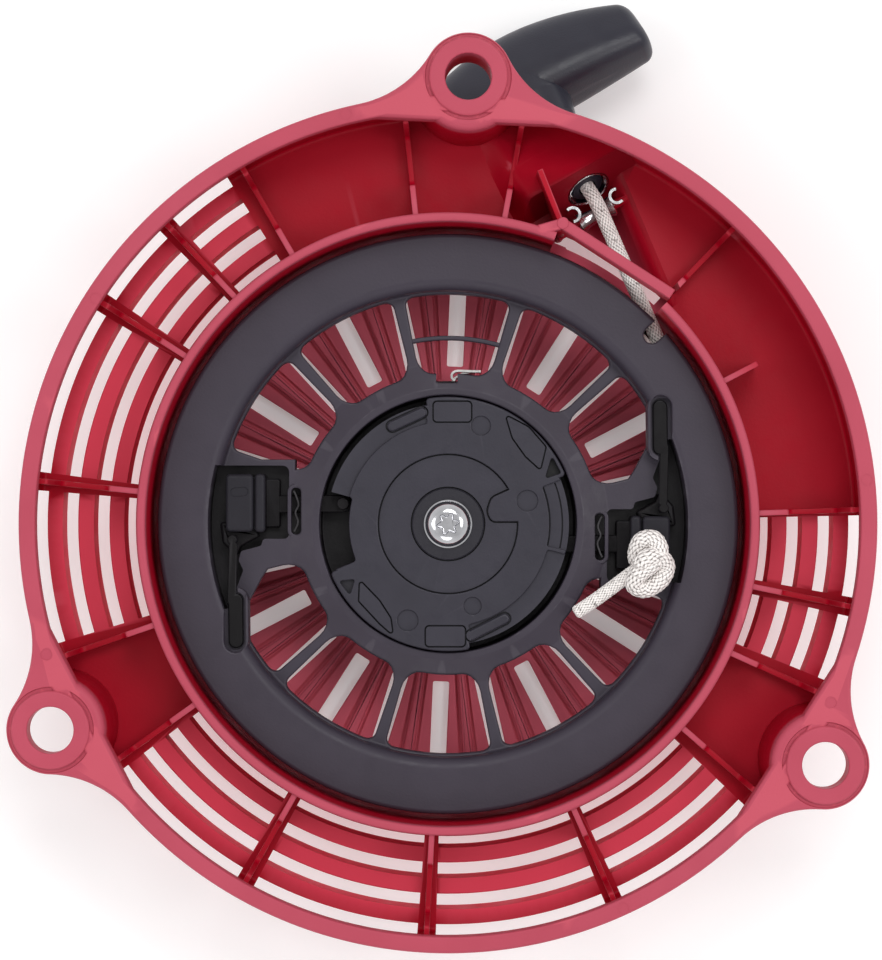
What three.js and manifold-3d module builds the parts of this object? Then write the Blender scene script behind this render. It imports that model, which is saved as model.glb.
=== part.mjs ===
// Recoil (rope) starter of a small vertical-shaft engine.
// Millimetres, +Z towards the engine. The origin is on the reel's axis, on the outer
// face of the dome, so the starter lies on its dome with the flange facing up.

import * as THREE from 'three';
import { mergeVertices } from 'three/addons/utils/BufferGeometryUtils.js';
import Module from 'manifold-3d';

const wasm = await Module();
wasm.setup();

// ---------------------------------------------------------------- driving dimensions
const DEG = Math.PI / 180;
const GAP = 0.3;                    // clearance kept between pieces that touch
const ROUND = 60;                   // facets of the largest turned surfaces

// housing
const BOLT_CIRCLE_R = 100;          // three ears on a 200 mm bolt circle
const EAR_ANGLES = [87.4, 207.4, 327.4];
const EAR_R = 10;
const EAR_FILLET_R = 24.4;
const EAR_HOLE_R = 5.2;
const EAR_PAD_R = 8.8;
const EAR_BOSS = { footR: 13, topR: 12 };   // tapered boss round each ear, inside the wall
const NUT_RECESS_R = 8;
const EAR_PAD_Z = 52;               // mounting plane
const RIM_Z = 51.4;
const EAR_UNDER_Z = 46.5;
const DEEP_BOSS_UNDER_Z = 38;       // the ear above the grip has a long boss
const BODY_R = 96;
const LIP_R = 92.2;
const WALL_IN_R = 94;
const DECK_TOP_Z = 30;
const DECK_UNDER_Z = 26;
const WELL_OUT_R = 69.8;
const WELL_IN_R = 67.8;
const WELL_TOP_Z = 50;
const FLOOR_T = 2.6;
const RIB_T = 1.3;
const RIB_Z = { outer: 46, dip: 34, inner: 49 };
const RIB_ANGLES = [
  2, 46, 79.5, 96, 120, 133.2, 147.4, 174, 199, 215.5, 240.5, 267, 293.8, 319, 335.5, 348.4,
];
const STUB_ANGLE = 27.4;                                     // a short gusset on the well only
const BAYS = [
  [122.5, 132], [134.5, 146], [148.7, 172.7], [175.3, 197], [217, 239.2],
  [241.8, 265.7], [268.3, 292.5], [295, 316.5], [337.5, 347], [349.7, 361.2],
];
const LOUVRES = [[72, 74.1], [78.1, 81.1], [85.3, 88.3]];   // radii of the three inner slots
const SHOULDER_LOUVRE = [92.3, 98];                          // the fourth opens the shoulder
const SHOULDER_TOP_Z = 35;
const SHOULDER_R = BODY_R - 3;                               // chamfer between deck and wall
const SHOULDER_END_Z = DECK_UNDER_Z + 3;
const DOME_SLOTS = 24;
const DOME_SLOT = { inner: 37.8, outer: 58, width: 3.9 };

// rope exit: a ramp wall whose normal is the pull direction
const EXIT = new THREE.Vector3(31.9, 77.9, 30);
const PULL_HEADING = 119.5 * DEG;
const PULL_DIP = 30 * DEG;
const RAMP_HALF_T = 1.1;
const CHANNEL = { low: -10.5, high: 11.5, wall: 2, floorTop: 18, floorUnder: 15.8 };
const CHANNEL_SIDE = [[31.3, 101.9], [55.6, 44.6]];         // plan line of the trough's right wall
const SLOPE = { width: 6, length: 30 };                      // fills the trough's corner along that wall
const ROOF = { ramp: 35.6, middle: 31.6, middleU: 12, outer: 28.8, outerU: 22, thickness: 1.9 };
const WELL_GAP = { from: 45.4, to: 69.5, inner: 67, outer: 73.5, bottom: 22 };
const FLOOR_GAP = { from: 46.8, to: 69.2, inner: 70.1, outer: 73 };
const BRIDGE = { from: [25.7, 67.3], to: [50.2, 51.4], thickness: 2.4, bottom: 43, postR: 1.6 };
const BRIDGE_LINK = [20.4, 65.8];                            // the well wall's end, beside the bridge
const SPUR = { to: [20.7, 79.8], top: 46 };
const EYELET = { seatR: 5.25, outer: 4.95, inner: 4.4, from: -1.6, to: 1.1 };
const ROLLER = { u: -6.8, v: -1.3, half: 4.6, pegR: 1.1, boreR: 1.4, waistR: 2, endR: 3.2 };

// reel
const REEL_ROUND = 48;
const ROPE_R = 1.75;
const ROPE_Z = 32.6;
const REEL_R = 66;
const REEL_TOP_Z = 40;
const GROOVE = { bottom: 28.4, top: 36.8, core: 55 };
const WEB = { under: 31, top: 34 };
const CORE_IN_R = 53;
const HUB = { out: 33, wellR: 29.4, cavityR: 31, rimZ: 36, under: 4.5, floorUnder: 23, floorTop: 25.5 };
const POST = { baseR: 7, pinR: 5, shoulderZ: 22, topZ: 28.5 };
const WINDOW = { inner: 34.6, outer: 52.7, half: 13.4, corner: 4 };
const WINDOW_CENTRES = [27.5, 57.5, 87.5, 117.5, 147.5];    // and the same five opposite
const WINDING = { inner: 55.3, outer: 62.7 };
const CROSSBAR = { inner: 42.2, outer: 43.2, from: 73, to: 102 };
const ROPE_NOTCH = { angle: 42.8, inner: 63.6, half: 1.9 };
const HOOK_ANGLE = 89.5;
const KNOT = { centre: [46.4, -9.3, 42.4], sizes: [5, 7.2, 4.5] };
const TAIL = [[41, -16.4, 40.4], [36.5, -18, 38.4], [29.8, -20, 37.9]];
const TANGENT_R = 61;
const TANGENT_ANGLE = 23.6;

// ratchets and their guide
const PIVOT = new THREE.Vector2(-46, 5);
const CAM_PIN = new THREE.Vector2(-24.05, 4.7);
const CAM_PIN_R = 1.4;
const RATCHET_Z = { arm: 28.6, armTop: 31.2, blockTop: 37.6, tipUnder: 38.2, tipTop: 40.2 };
const FINGER_HALF = 1.7;
const SHANK_HALF = 1.4;
const RATCHET_TIP = new THREE.Vector2(-47.8, -25);
const POCKET_FLOOR_Z = 28.2;
const POCKET_UNDER_Z = 26.2;
const GUIDE = {
  radius: 27.6, under: 33.5, top: 37.5, stepR: 16, stepZ: 36.7, hubR: 8, hubUnder: 30.1,
  recessR: 8.2, recessZ: 36,
};
const CAM_SLOT = { radius: 24.4, half: 1.9, from: 163.8, to: 206 };

// screw, washer and springs
const SCREW = { headR: 5.2, headZ: 36.3, headTop: 39.5, shankR: 2, tipZ: 10 };
const STRIP = { thickness: 0.5, bottom: 6.5, width: 12, turns: 5, inner: 10, outer: 29.6 };
const FRICTION = { wireR: 0.8, coilR: 11.8, from: 110, to: 430 };

// grip, in the exit frame: w along the pull, v along the bar
const GRIP = { half: 31.5, width: 11.3, flat: 0.83, fingerW: 24.1, pocketR: 5.2, pocketW: 29.2 };

// ---------------------------------------------------------------- helpers
function polar(radius, degrees) {
  return [radius * Math.cos(degrees * DEG), radius * Math.sin(degrees * DEG)];
}

/** Turn a closed three.js geometry into a manifold solid with its faces pointing out. */
function solid(geometry) {
  const bare = geometry.index ? geometry.toNonIndexed() : geometry.clone();
  for (const key of Object.keys(bare.attributes)) {
    if (key !== 'position') bare.deleteAttribute(key);
  }
  const merged = mergeVertices(bare, 1e-4);
  const p = merged.attributes.position;
  const index = merged.index.array;
  const faces = [];
  const a = new THREE.Vector3();
  const b = new THREE.Vector3();
  const c = new THREE.Vector3();
  let volume = 0;
  for (let i = 0; i < index.length; i += 3) {
    const [i0, i1, i2] = [index[i], index[i + 1], index[i + 2]];
    if (i0 === i1 || i1 === i2 || i2 === i0) continue;
    a.fromBufferAttribute(p, i0);
    b.fromBufferAttribute(p, i1);
    c.fromBufferAttribute(p, i2);
    volume += a.dot(b.cross(c));
    faces.push([i0, i1, i2]);
  }
  const outward = faces.flatMap(([i, j, k]) => (volume > 0 ? [i, j, k] : [i, k, j]));
  return new wasm.Manifold(new wasm.Mesh({
    numProp: 3,
    vertProperties: new Float32Array(p.array),
    triVerts: new Uint32Array(outward),
  }));
}

/** Solid of revolution about Z from [radius, z] points; a ring unless it touches the axis. */
function turned(points, segments = ROUND) {
  const closed = points[0][0] > 0;
  const outline = points.map(([r, z]) => new THREE.Vector2(r, z));
  if (closed) outline.push(outline[0].clone());
  return solid(new THREE.LatheGeometry(outline, segments).rotateX(Math.PI / 2));
}

function ring(inner, outer, bottom, top, segments = ROUND) {
  return turned([[inner, bottom], [outer, bottom], [outer, top], [inner, top]], segments);
}

function disc(radius, bottom, top, segments = 20) {
  return turned([[0, bottom], [radius, bottom], [radius, top], [0, top]], segments);
}

function post(radius, x, y, bottom, top, segments = 16) {
  return disc(radius, bottom, top, segments).translate([x, y, 0]);
}

/** Prism of a closed outline between two heights. */
function prism(shape, bottom, top, curveSegments = 6) {
  const options = { depth: top - bottom, bevelEnabled: false, curveSegments };
  return solid(new THREE.ExtrudeGeometry(shape, options).translate(0, 0, bottom));
}

function polygon(points) {
  return new THREE.Shape(points.map(([x, y]) => new THREE.Vector2(x, y)));
}

function box(x0, x1, y0, y1, z0, z1) {
  const geometry = new THREE.BoxGeometry(x1 - x0, y1 - y0, z1 - z0);
  return solid(geometry.translate((x0 + x1) / 2, (y0 + y1) / 2, (z0 + z1) / 2));
}

/** Annular sector between two angles in degrees. */
function sector(inner, outer, from, to) {
  const shape = new THREE.Shape();
  shape.absarc(0, 0, outer, from * DEG, to * DEG, false);
  shape.absarc(0, 0, inner, to * DEG, from * DEG, true);
  shape.closePath();
  return shape;
}

function sectorPrism(inner, outer, from, to, bottom, top, step = 10) {
  const segments = Math.max(1, Math.round((to - from) / step / 2));
  return prism(sector(inner, outer, from, to), bottom, top, segments);
}

/** A bar with round ends between two plan points. */
function capsule(from, to, half, bottom, top) {
  const heading = Math.atan2(to.y - from.y, to.x - from.x);
  const shape = new THREE.Shape();
  shape.absarc(to.x, to.y, half, heading - Math.PI / 2, heading + Math.PI / 2, false);
  shape.absarc(from.x, from.y, half, heading + Math.PI / 2, heading + 1.5 * Math.PI, false);
  shape.closePath();
  return prism(shape, bottom, top, 2);
}

function turnZ(part, degrees) {
  return part.rotate([0, 0, degrees]);
}

function join(first, ...others) {
  return others.reduce((sum, part) => sum.add(part), first);
}

function cut(first, ...others) {
  return others.reduce((rest, part) => rest.subtract(part), first);
}

/** Tube of a round rope along a curve. */
function tube(curve, radius, steps) {
  const section = new THREE.Shape();
  section.absarc(0, 0, radius, 0, 2 * Math.PI, false);
  const options = { steps, extrudePath: curve, curveSegments: 4, bevelEnabled: false };
  return solid(new THREE.ExtrudeGeometry(section, options));
}

// Exit frame: x = v along the bar, y across it (down and in), z = w along the pull.
const pullAxis = new THREE.Vector3(
  Math.cos(PULL_HEADING) * Math.cos(PULL_DIP),
  Math.sin(PULL_HEADING) * Math.cos(PULL_DIP),
  -Math.sin(PULL_DIP),
);
const barAxis = new THREE.Vector3(Math.sin(PULL_HEADING), -Math.cos(PULL_HEADING), 0);
const acrossAxis = new THREE.Vector3().crossVectors(pullAxis, barAxis);
const exitFrame = new THREE.Matrix4().makeBasis(barAxis, acrossAxis, pullAxis).setPosition(EXIT);

function inExitFrame(part) {
  return part.transform(exitFrame.elements);
}

/** A point in plan from its distances along the pull heading and along the bar. */
function planPoint(u, v) {
  const x = EXIT.x + u * Math.cos(PULL_HEADING) + v * Math.sin(PULL_HEADING);
  const y = EXIT.y + u * Math.sin(PULL_HEADING) - v * Math.cos(PULL_HEADING);
  return new THREE.Vector2(x, y);
}

/** Prism along the bar axis of an outline given as [u, z] points. */
function acrossPrism(points, fromV, toV) {
  const geometry = new THREE.ExtrudeGeometry(polygon(points), { depth: toV - fromV, bevelEnabled: false });
  const heading = new THREE.Vector3(Math.cos(PULL_HEADING), Math.sin(PULL_HEADING), 0);
  const frame = new THREE.Matrix4().makeBasis(heading, new THREE.Vector3(0, 0, 1), barAxis);
  frame.setPosition(EXIT.x + fromV * barAxis.x, EXIT.y + fromV * barAxis.y, 0);
  return solid(geometry).transform(frame.elements);
}

// ---------------------------------------------------------------- housing
/** Distance along the pull heading of a plane parallel to the ramp, at a height. */
function rampU(z, offset) {
  return (z - EXIT.z) * Math.tan(PULL_DIP) + offset / Math.cos(PULL_DIP);
}

function housingShell() {
  const shell = turned([
    [0, 0], [64.8, 0], [68.3, 1.5], [WELL_OUT_R, 5], [WELL_OUT_R, DECK_UNDER_Z],
    [SHOULDER_R, DECK_UNDER_Z], [BODY_R, SHOULDER_END_Z], [BODY_R, RIM_Z],
    [LIP_R, RIM_Z], [LIP_R, RIM_Z - 3],
    [WALL_IN_R, RIM_Z - 5], [WALL_IN_R, DECK_TOP_Z], [WELL_OUT_R, DECK_TOP_Z], [WELL_OUT_R, WELL_TOP_Z],
    [WELL_IN_R, WELL_TOP_Z], [WELL_IN_R, FLOOR_T], [0, FLOOR_T],
  ]);
  const column = turned([
    [0, 1], [POST.baseR, 1], [POST.baseR, POST.shoulderZ], [POST.pinR, POST.shoulderZ],
    [POST.pinR, POST.topZ], [0, POST.topZ],
  ], 20);
  return join(shell, column);
}

/** Everything inside the outer wall's face and its chamfered shoulder. */
function bodyEnvelope(bottom, top) {
  const inset = 0.2;
  const shoulder = [[SHOULDER_R - inset, DECK_UNDER_Z], [BODY_R - inset, SHOULDER_END_Z]];
  const foot = bottom < DECK_UNDER_Z ? [[SHOULDER_R - inset, bottom]] : [];
  return turned([[0, bottom], ...foot, ...shoulder, [BODY_R - inset, top], [0, top]]);
}

/** Outline of one ear, on the +X axis, blended into the rim with two concave fillets. */
function earOutline() {
  const reach = BODY_R + EAR_FILLET_R;
  const earReach = EAR_R + EAR_FILLET_R;
  const cosine = (reach ** 2 + BOLT_CIRCLE_R ** 2 - earReach ** 2) / (2 * reach * BOLT_CIRCLE_R);
  const spread = Math.acos(cosine);
  const fx = reach * Math.cos(spread);
  const fy = reach * Math.sin(spread);
  const earTurn = Math.atan2(fy, fx - BOLT_CIRCLE_R);
  const rootR = BODY_R - 3;
  const shape = new THREE.Shape();
  shape.moveTo(rootR * Math.cos(spread), -rootR * Math.sin(spread));
  shape.absarc(fx, -fy, EAR_FILLET_R, Math.PI - spread, Math.PI - earTurn, true);
  shape.absarc(BOLT_CIRCLE_R, 0, EAR_R, -earTurn, earTurn, false);
  shape.absarc(fx, fy, EAR_FILLET_R, Math.PI + earTurn, Math.PI + spread, true);
  shape.lineTo(rootR * Math.cos(spread), rootR * Math.sin(spread));
  shape.closePath();
  return shape;
}

function ear(angle, deep) {
  const lobe = prism(earOutline(), EAR_UNDER_Z, RIM_Z, 4);
  const pad = post(EAR_PAD_R, BOLT_CIRCLE_R, 0, RIM_Z - 1, EAR_PAD_Z, 24);
  const { footR, topR } = EAR_BOSS;
  const boss = turned([[0, DECK_UNDER_Z], [footR, DECK_UNDER_Z], [topR, RIM_Z], [0, RIM_Z]], 24)
    .translate([BOLT_CIRCLE_R, 0, 0])
    .intersect(bodyEnvelope(DECK_UNDER_Z, RIM_Z));
  const parts = [pad, boss];
  if (deep) parts.push(post(EAR_PAD_R, BOLT_CIRCLE_R, 0, DEEP_BOSS_UNDER_Z, RIM_Z, 24));
  return turnZ(join(lobe, ...parts), angle);
}

/** The bolt hole of an ear and the nut recess under it. */
function earHole(angle, deep) {
  const seat = deep ? DEEP_BOSS_UNDER_Z : EAR_UNDER_Z;
  const hole = post(EAR_HOLE_R, BOLT_CIRCLE_R, 0, DECK_UNDER_Z - 4, EAR_PAD_Z + 1, 24);
  const recess = post(NUT_RECESS_R, BOLT_CIRCLE_R, 0, DECK_UNDER_Z - 4, seat, 20);
  return turnZ(join(hole, recess), angle);
}

/** Upright radial plate from its outline in radius and height. */
function radialPlate(points, angle) {
  const geometry = new THREE.ExtrudeGeometry(polygon(points), { depth: RIB_T, bevelEnabled: false });
  return turnZ(solid(geometry.translate(0, 0, -RIB_T / 2).rotateX(Math.PI / 2)), angle);
}

/** Radial rib, low over the louvres and tall where it meets the two walls. */
function rib(angle) {
  return radialPlate([
    [WELL_IN_R + 1, DECK_UNDER_Z + 1], [SHOULDER_R - 0.5, DECK_UNDER_Z + 1],
    [WALL_IN_R + 1, SHOULDER_END_Z + 0.5], [WALL_IN_R + 1, RIB_Z.outer], [90.5, RIB_Z.outer],
    [89, RIB_Z.dip], [78, RIB_Z.dip], [76.5, RIB_Z.inner - 1], [WELL_IN_R + 1, RIB_Z.inner],
  ], angle);
}

/** Short gusset that stands on the deck against the well. */
function stub(angle) {
  return radialPlate([
    [WELL_IN_R + 1, DECK_UNDER_Z + 1], [79.5, DECK_UNDER_Z + 1], [78.5, RIB_Z.inner - 2],
    [WELL_IN_R + 1, RIB_Z.inner],
  ], angle);
}

/** Upright plate between two plan points. */
function plate(from, to, thickness, bottom, top) {
  const [dx, dy] = [to[0] - from[0], to[1] - from[1]];
  const wall = box(0, Math.hypot(dx, dy), -thickness / 2, thickness / 2, bottom, top);
  return turnZ(wall, Math.atan2(dy, dx) / DEG).translate([from[0], from[1], 0]);
}

function louvres() {
  const cuts = [];
  for (const [from, to] of BAYS) {
    for (const [inner, outer] of LOUVRES) {
      cuts.push(sectorPrism(inner, outer, from, to, DECK_UNDER_Z - 3, DECK_TOP_Z + 2));
    }
    const [inner, outer] = SHOULDER_LOUVRE;
    cuts.push(sectorPrism(inner, outer, from, to, DECK_UNDER_Z - 3, SHOULDER_TOP_Z));
  }
  return cuts;
}

function domeSlots() {
  const half = DOME_SLOT.width / 2;
  return Array.from({ length: DOME_SLOTS }, (_, i) => (
    turnZ(box(DOME_SLOT.inner, DOME_SLOT.outer, -half, half, -1, FLOOR_T + 1), 12.5 + i * 360 / DOME_SLOTS)
  ));
}

/** Underside or top of the sloping roof over the grip's stem, from the ramp outwards. */
function roofLine(lift, offset) {
  const rampTop = ROOF.ramp + lift;
  return [
    [40, ROOF.outer + lift], [ROOF.outerU, ROOF.outer + lift], [ROOF.middleU, ROOF.middle + lift],
    [rampU(rampTop, offset), rampTop],
  ];
}

/** Everything on the rope's side of the trough's right wall, moved out by a distance. */
function troughSide(outwards, bottom, top) {
  const [[x0, y0], [x1, y1]] = CHANNEL_SIDE;
  const length = Math.hypot(x1 - x0, y1 - y0);
  const [nx, ny] = [outwards * (y0 - y1) / length, outwards * (x1 - x0) / length];
  return prism(polygon([[0, 30], [x1 + nx, y1 + ny], [x0 + nx, y0 + ny], [0, 105]]), bottom, top);
}

/** Slope in the trough's corner, from its floor up to the deck along the right wall. */
function troughSlope() {
  const [[x0, y0], [x1, y1]] = CHANNEL_SIDE;
  const section = polygon([[0, CHANNEL.floorUnder], [SLOPE.width, CHANNEL.floorTop], [0, DECK_TOP_Z]]);
  const geometry = new THREE.ExtrudeGeometry(section, { depth: SLOPE.length, bevelEnabled: false });
  const along = new THREE.Vector3(x0 - x1, y0 - y1, 0).normalize();
  const left = new THREE.Vector3(-along.y, along.x, 0);
  const frame = new THREE.Matrix4().makeBasis(left, new THREE.Vector3(0, 0, 1), along);
  const slope = solid(geometry).transform(frame.setPosition(x1, y1, 0).elements);
  return slope.subtract(disc(WELL_OUT_R, 0, RIM_Z, ROUND));
}

/** Walls of the rope channel and of the recess that the grip's stem lies in. */
function channelWalls() {
  const outer = [CHANNEL.low - CHANNEL.wall, CHANNEL.high + CHANNEL.wall];
  const trough = acrossPrism([
    [-32, CHANNEL.floorUnder], [rampU(CHANNEL.floorUnder, RAMP_HALF_T), CHANNEL.floorUnder],
    [rampU(DECK_TOP_Z, RAMP_HALF_T), DECK_TOP_Z], [-32, DECK_TOP_Z],
  ], ...outer).intersect(troughSide(CHANNEL.wall, 0, RIM_Z));
  const recess = acrossPrism([
    [rampU(DECK_UNDER_Z, -RAMP_HALF_T), DECK_UNDER_Z], [40, DECK_UNDER_Z],
    ...roofLine(ROOF.thickness, -RAMP_HALF_T),
  ], ...outer);
  const [bottom, top] = [CHANNEL.floorUnder - 1, RIM_Z];
  const annulus = bodyEnvelope(bottom, top).subtract(disc(WELL_OUT_R - 1, bottom - 1, top + 1, ROUND));
  return join(trough, recess).intersect(annulus);
}

function channelVoids() {
  const inner = [CHANNEL.low, CHANNEL.high];
  const top = RIM_Z + 5;
  const rampTop = ROOF.ramp + ROOF.thickness;
  const reach = disc(LIP_R, 0, top, ROUND).subtract(disc(WELL_OUT_R, -1, top + 1, ROUND));
  const trough = acrossPrism([
    [-34, CHANNEL.floorTop], [rampU(CHANNEL.floorTop, -RAMP_HALF_T), CHANNEL.floorTop],
    [rampU(rampTop, -RAMP_HALF_T), rampTop], [rampU(rampTop, -RAMP_HALF_T), top], [-34, top],
  ], ...inner).intersect(reach).intersect(troughSide(0, 0, top));
  const recess = acrossPrism([
    [rampU(DECK_UNDER_Z - 12, RAMP_HALF_T), DECK_UNDER_Z - 12], [40, DECK_UNDER_Z - 12],
    ...roofLine(0, RAMP_HALF_T),
  ], ...inner).intersect(disc(BODY_R + 2, 0, top, ROUND));
  return join(trough, recess);
}

function rollerCentre() {
  const { x, y } = planPoint(ROLLER.u, ROLLER.v);
  return new THREE.Vector3(x, y, ROPE_Z - ROPE_R - GAP - ROLLER.waistR);
}

/** Rod that holds the rope roller, from one side wall of the channel to the other. */
function rollerPegs() {
  const { z } = rollerCentre();
  const left = planPoint(ROLLER.u, CHANNEL.low - 1);
  const right = planPoint(ROLLER.u, CHANNEL.high + 1);
  const length = left.distanceTo(right);
  const rod = disc(ROLLER.pegR, 0, length, 12);
  const toBar = new THREE.Matrix4().makeBasis(acrossAxis, pullAxis, barAxis).setPosition(left.x, left.y, z);
  return rod.transform(toBar.elements);
}

/** Bar over the rope between the well wall's two ends, its post and the spur on the deck. */
function bridge() {
  const { from, to, thickness, bottom, postR } = BRIDGE;
  return [
    plate(from, to, thickness, bottom, WELL_TOP_Z),
    plate(BRIDGE_LINK, from, thickness, bottom, WELL_TOP_Z),
    post(postR, ...from, CHANNEL.floorTop, WELL_TOP_Z + 0.3, 16),
    plate(from, SPUR.to, RIB_T, DECK_TOP_Z - 1, SPUR.top),
  ];
}

function housing() {
  const ears = EAR_ANGLES.map((angle, i) => ear(angle, i === 0));
  const ribs = RIB_ANGLES.map(rib);
  const earHoles = EAR_ANGLES.map((angle, i) => earHole(angle, i === 0));
  let body = join(housingShell(), ...ears, ...ribs, stub(STUB_ANGLE));
  body = cut(body, ...louvres(), ...domeSlots(), ...earHoles);
  body = join(join(body, channelWalls()).subtract(channelVoids()), troughSlope());
  const { from, to, inner, outer, bottom } = WELL_GAP;
  const mouth = sectorPrism(inner, outer, from, to, bottom, WELL_TOP_Z + 2);
  const floorGap = sectorPrism(
    FLOOR_GAP.inner, FLOOR_GAP.outer, FLOOR_GAP.from, FLOOR_GAP.to, CHANNEL.floorUnder - 1, bottom + 1,
  );
  body = cut(body, mouth, floorGap);
  body = join(body, ...bridge(), rollerPegs());
  const eyeletSeat = inExitFrame(disc(EYELET.seatR, -4, 4, 20));
  const screwHole = disc(SCREW.shankR + GAP, 8, POST.topZ + 1, 12);
  const hookSlot = box(0, POST.baseR + 1, -0.5, 0.5, 6, 19);
  return cut(body, eyeletSeat, screwHole, hookSlot);
}

/** Steel ring in the ramp, round the grip's nose. */
function ropeEyelet() {
  const { outer, inner, from, to } = EYELET;
  return inExitFrame(turned([
    [inner, from + 0.5], [inner + 0.3, from], [outer, from], [outer, to], [inner, to],
  ], 24));
}

/** Hourglass roller that turns the rope down into the exit. */
function ropeRoller() {
  const { half, boreR, waistR, endR } = ROLLER;
  const profile = [[boreR, -half], [endR - 0.4, -half], [endR, -half + 0.5]];
  for (let i = 1; i <= 5; i += 1) {
    const along = -1 + i / 3;
    profile.push([waistR + (endR - waistR - 0.2) * along ** 4, along * (half - 0.9)]);
  }
  profile.push([endR, half - 0.5], [endR - 0.4, half], [boreR, half]);
  const frame = new THREE.Matrix4().makeBasis(acrossAxis, pullAxis, barAxis);
  return turned(profile, 16).transform(frame.setPosition(rollerCentre()).elements);
}

// ---------------------------------------------------------------- reel
/** A reel window with round corners, centred on the +X axis. */
function windowOutline() {
  const { inner, outer, half, corner } = WINDOW;
  const shape = new THREE.Shape();
  const tip = half - 1.2;
  shape.moveTo(...polar(inner + corner, -half));
  shape.lineTo(...polar(outer - 2, -half));
  shape.quadraticCurveTo(...polar(outer, -half), ...polar(outer, -tip));
  shape.absarc(0, 0, outer, -tip * DEG, tip * DEG, false);
  shape.quadraticCurveTo(...polar(outer, half), ...polar(outer - 2, half));
  shape.lineTo(...polar(inner + corner, half));
  const inside = half - corner / inner / DEG;
  shape.quadraticCurveTo(...polar(inner, half), ...polar(inner, inside));
  shape.absarc(0, 0, inner, inside * DEG, -inside * DEG, true);
  shape.quadraticCurveTo(...polar(inner, -half), ...polar(inner + corner, -half));
  return shape;
}

function windowCuts() {
  const one = prism(windowOutline(), WEB.under - 1, WEB.top + 1, 2);
  return WINDOW_CENTRES.flatMap((angle) => [turnZ(one, angle), turnZ(one, angle + 180)]);
}

/** Outline of the left ratchet pocket: a square bay, a band along the ring and a finger. */
function pocketPlan(bottom, top, grow) {
  const bay = box(-WINDOW.outer - 2, -36.4 + grow, -3.2 - grow, 13.2 + grow, bottom, top);
  const band = prism(polygon([
    [-55, -2], [-47.4 + grow, -2], [-44.4 + grow, -17], [-45.4 + grow, -19.5 - grow], [-55, -19.5 - grow],
  ]), bottom, top);
  return join(bay, band).intersect(disc(CORE_IN_R + (grow > 0 ? 1 : 0), bottom, top, REEL_ROUND));
}

/** Room for the ratchet's finger over its whole swing. */
function fingerRecess(bottom, top, grow) {
  const half = FINGER_HALF + 0.4 + grow;
  const start = grow > 0 ? -12 : -5;
  const rest = capsule(new THREE.Vector2(-47.2, start), RATCHET_TIP, half, bottom, top);
  const swung = capsule(new THREE.Vector2(-49, start), new THREE.Vector2(-51.1, -24.8), half, bottom, top);
  return join(rest, swung).hull();
}

function bothSides(part) {
  return join(part, turnZ(part, 180));
}

function reelRevolved() {
  return turned([
    [POST.pinR + GAP, HUB.floorUnder], [HUB.cavityR, HUB.floorUnder], [HUB.cavityR, HUB.under],
    [HUB.out, HUB.under], [HUB.out, WEB.under], [CORE_IN_R, WEB.under], [CORE_IN_R, GROOVE.bottom - 2],
    [REEL_R, GROOVE.bottom - 2], [REEL_R, GROOVE.bottom], [GROOVE.core, GROOVE.bottom],
    [GROOVE.core, GROOVE.top], [REEL_R, GROOVE.top], [REEL_R, REEL_TOP_Z - 0.6], [REEL_R - 0.6, REEL_TOP_Z],
    [54.5, REEL_TOP_Z], [CORE_IN_R, REEL_TOP_Z - 1.5], [CORE_IN_R, WEB.top], [WINDOW.inner - 0.6, WEB.top],
    [31.5, HUB.rimZ], [HUB.wellR, HUB.rimZ], [HUB.wellR, HUB.floorTop], [7.5, HUB.floorTop],
    [7.5, POST.topZ], [POST.pinR + GAP, POST.topZ],
  ], REEL_ROUND);
}

/** Notch in the upper flange that lets the rope out. */
function ropeNotch() {
  const { angle, inner, half } = ROPE_NOTCH;
  const [bottom, top] = [GROOVE.top - 1, REEL_TOP_Z + 1];
  const mouth = box(inner, REEL_R + 2, -half, half, bottom, top);
  return turnZ(join(mouth, post(half, inner, 0, bottom, top)), angle);
}

/** Opening in the hub's barrel that the recoil spring's outer end passes through. */
function hookWindow() {
  const spare = 0.6;
  const opening = box(28, 38, -3.2, 3.2, STRIP.bottom - spare, STRIP.bottom + STRIP.width + spare);
  return turnZ(opening, HOOK_ANGLE);
}

function reel() {
  let body = cut(reelRevolved(), ...windowCuts());
  const shells = join(
    pocketPlan(POCKET_UNDER_Z, WEB.top, 1.4),
    fingerRecess(WEB.top - 0.5, REEL_TOP_Z - 0.8, 1.2).intersect(disc(CORE_IN_R + 1, 0, 60, REEL_ROUND)),
  );
  body = join(body, bothSides(shells));
  const tunnel = box(-44, -HUB.wellR + 1.5, -2.6, 9, POCKET_FLOOR_Z, WEB.top - 2.2);
  const springSlot = box(-35.4, -33.8, -2.3, 8.2, POCKET_FLOOR_Z, WEB.top + 2);
  const emptied = join(
    pocketPlan(POCKET_FLOOR_Z, REEL_TOP_Z + 5, 0),
    fingerRecess(RATCHET_Z.tipUnder - 0.3, REEL_TOP_Z + 5, 0),
    tunnel,
    springSlot,
  );
  body = body.subtract(bothSides(emptied));
  const pivot = post(2, PIVOT.x, PIVOT.y, POCKET_UNDER_Z + 0.5, 33, 16);
  body = join(body, bothSides(pivot));
  const { inner, outer, from, to } = CROSSBAR;
  body = join(body, sectorPrism(inner, outer, from, to, WEB.under, WEB.top, 5));
  return cut(body, ropeNotch(), hookWindow());
}

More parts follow.
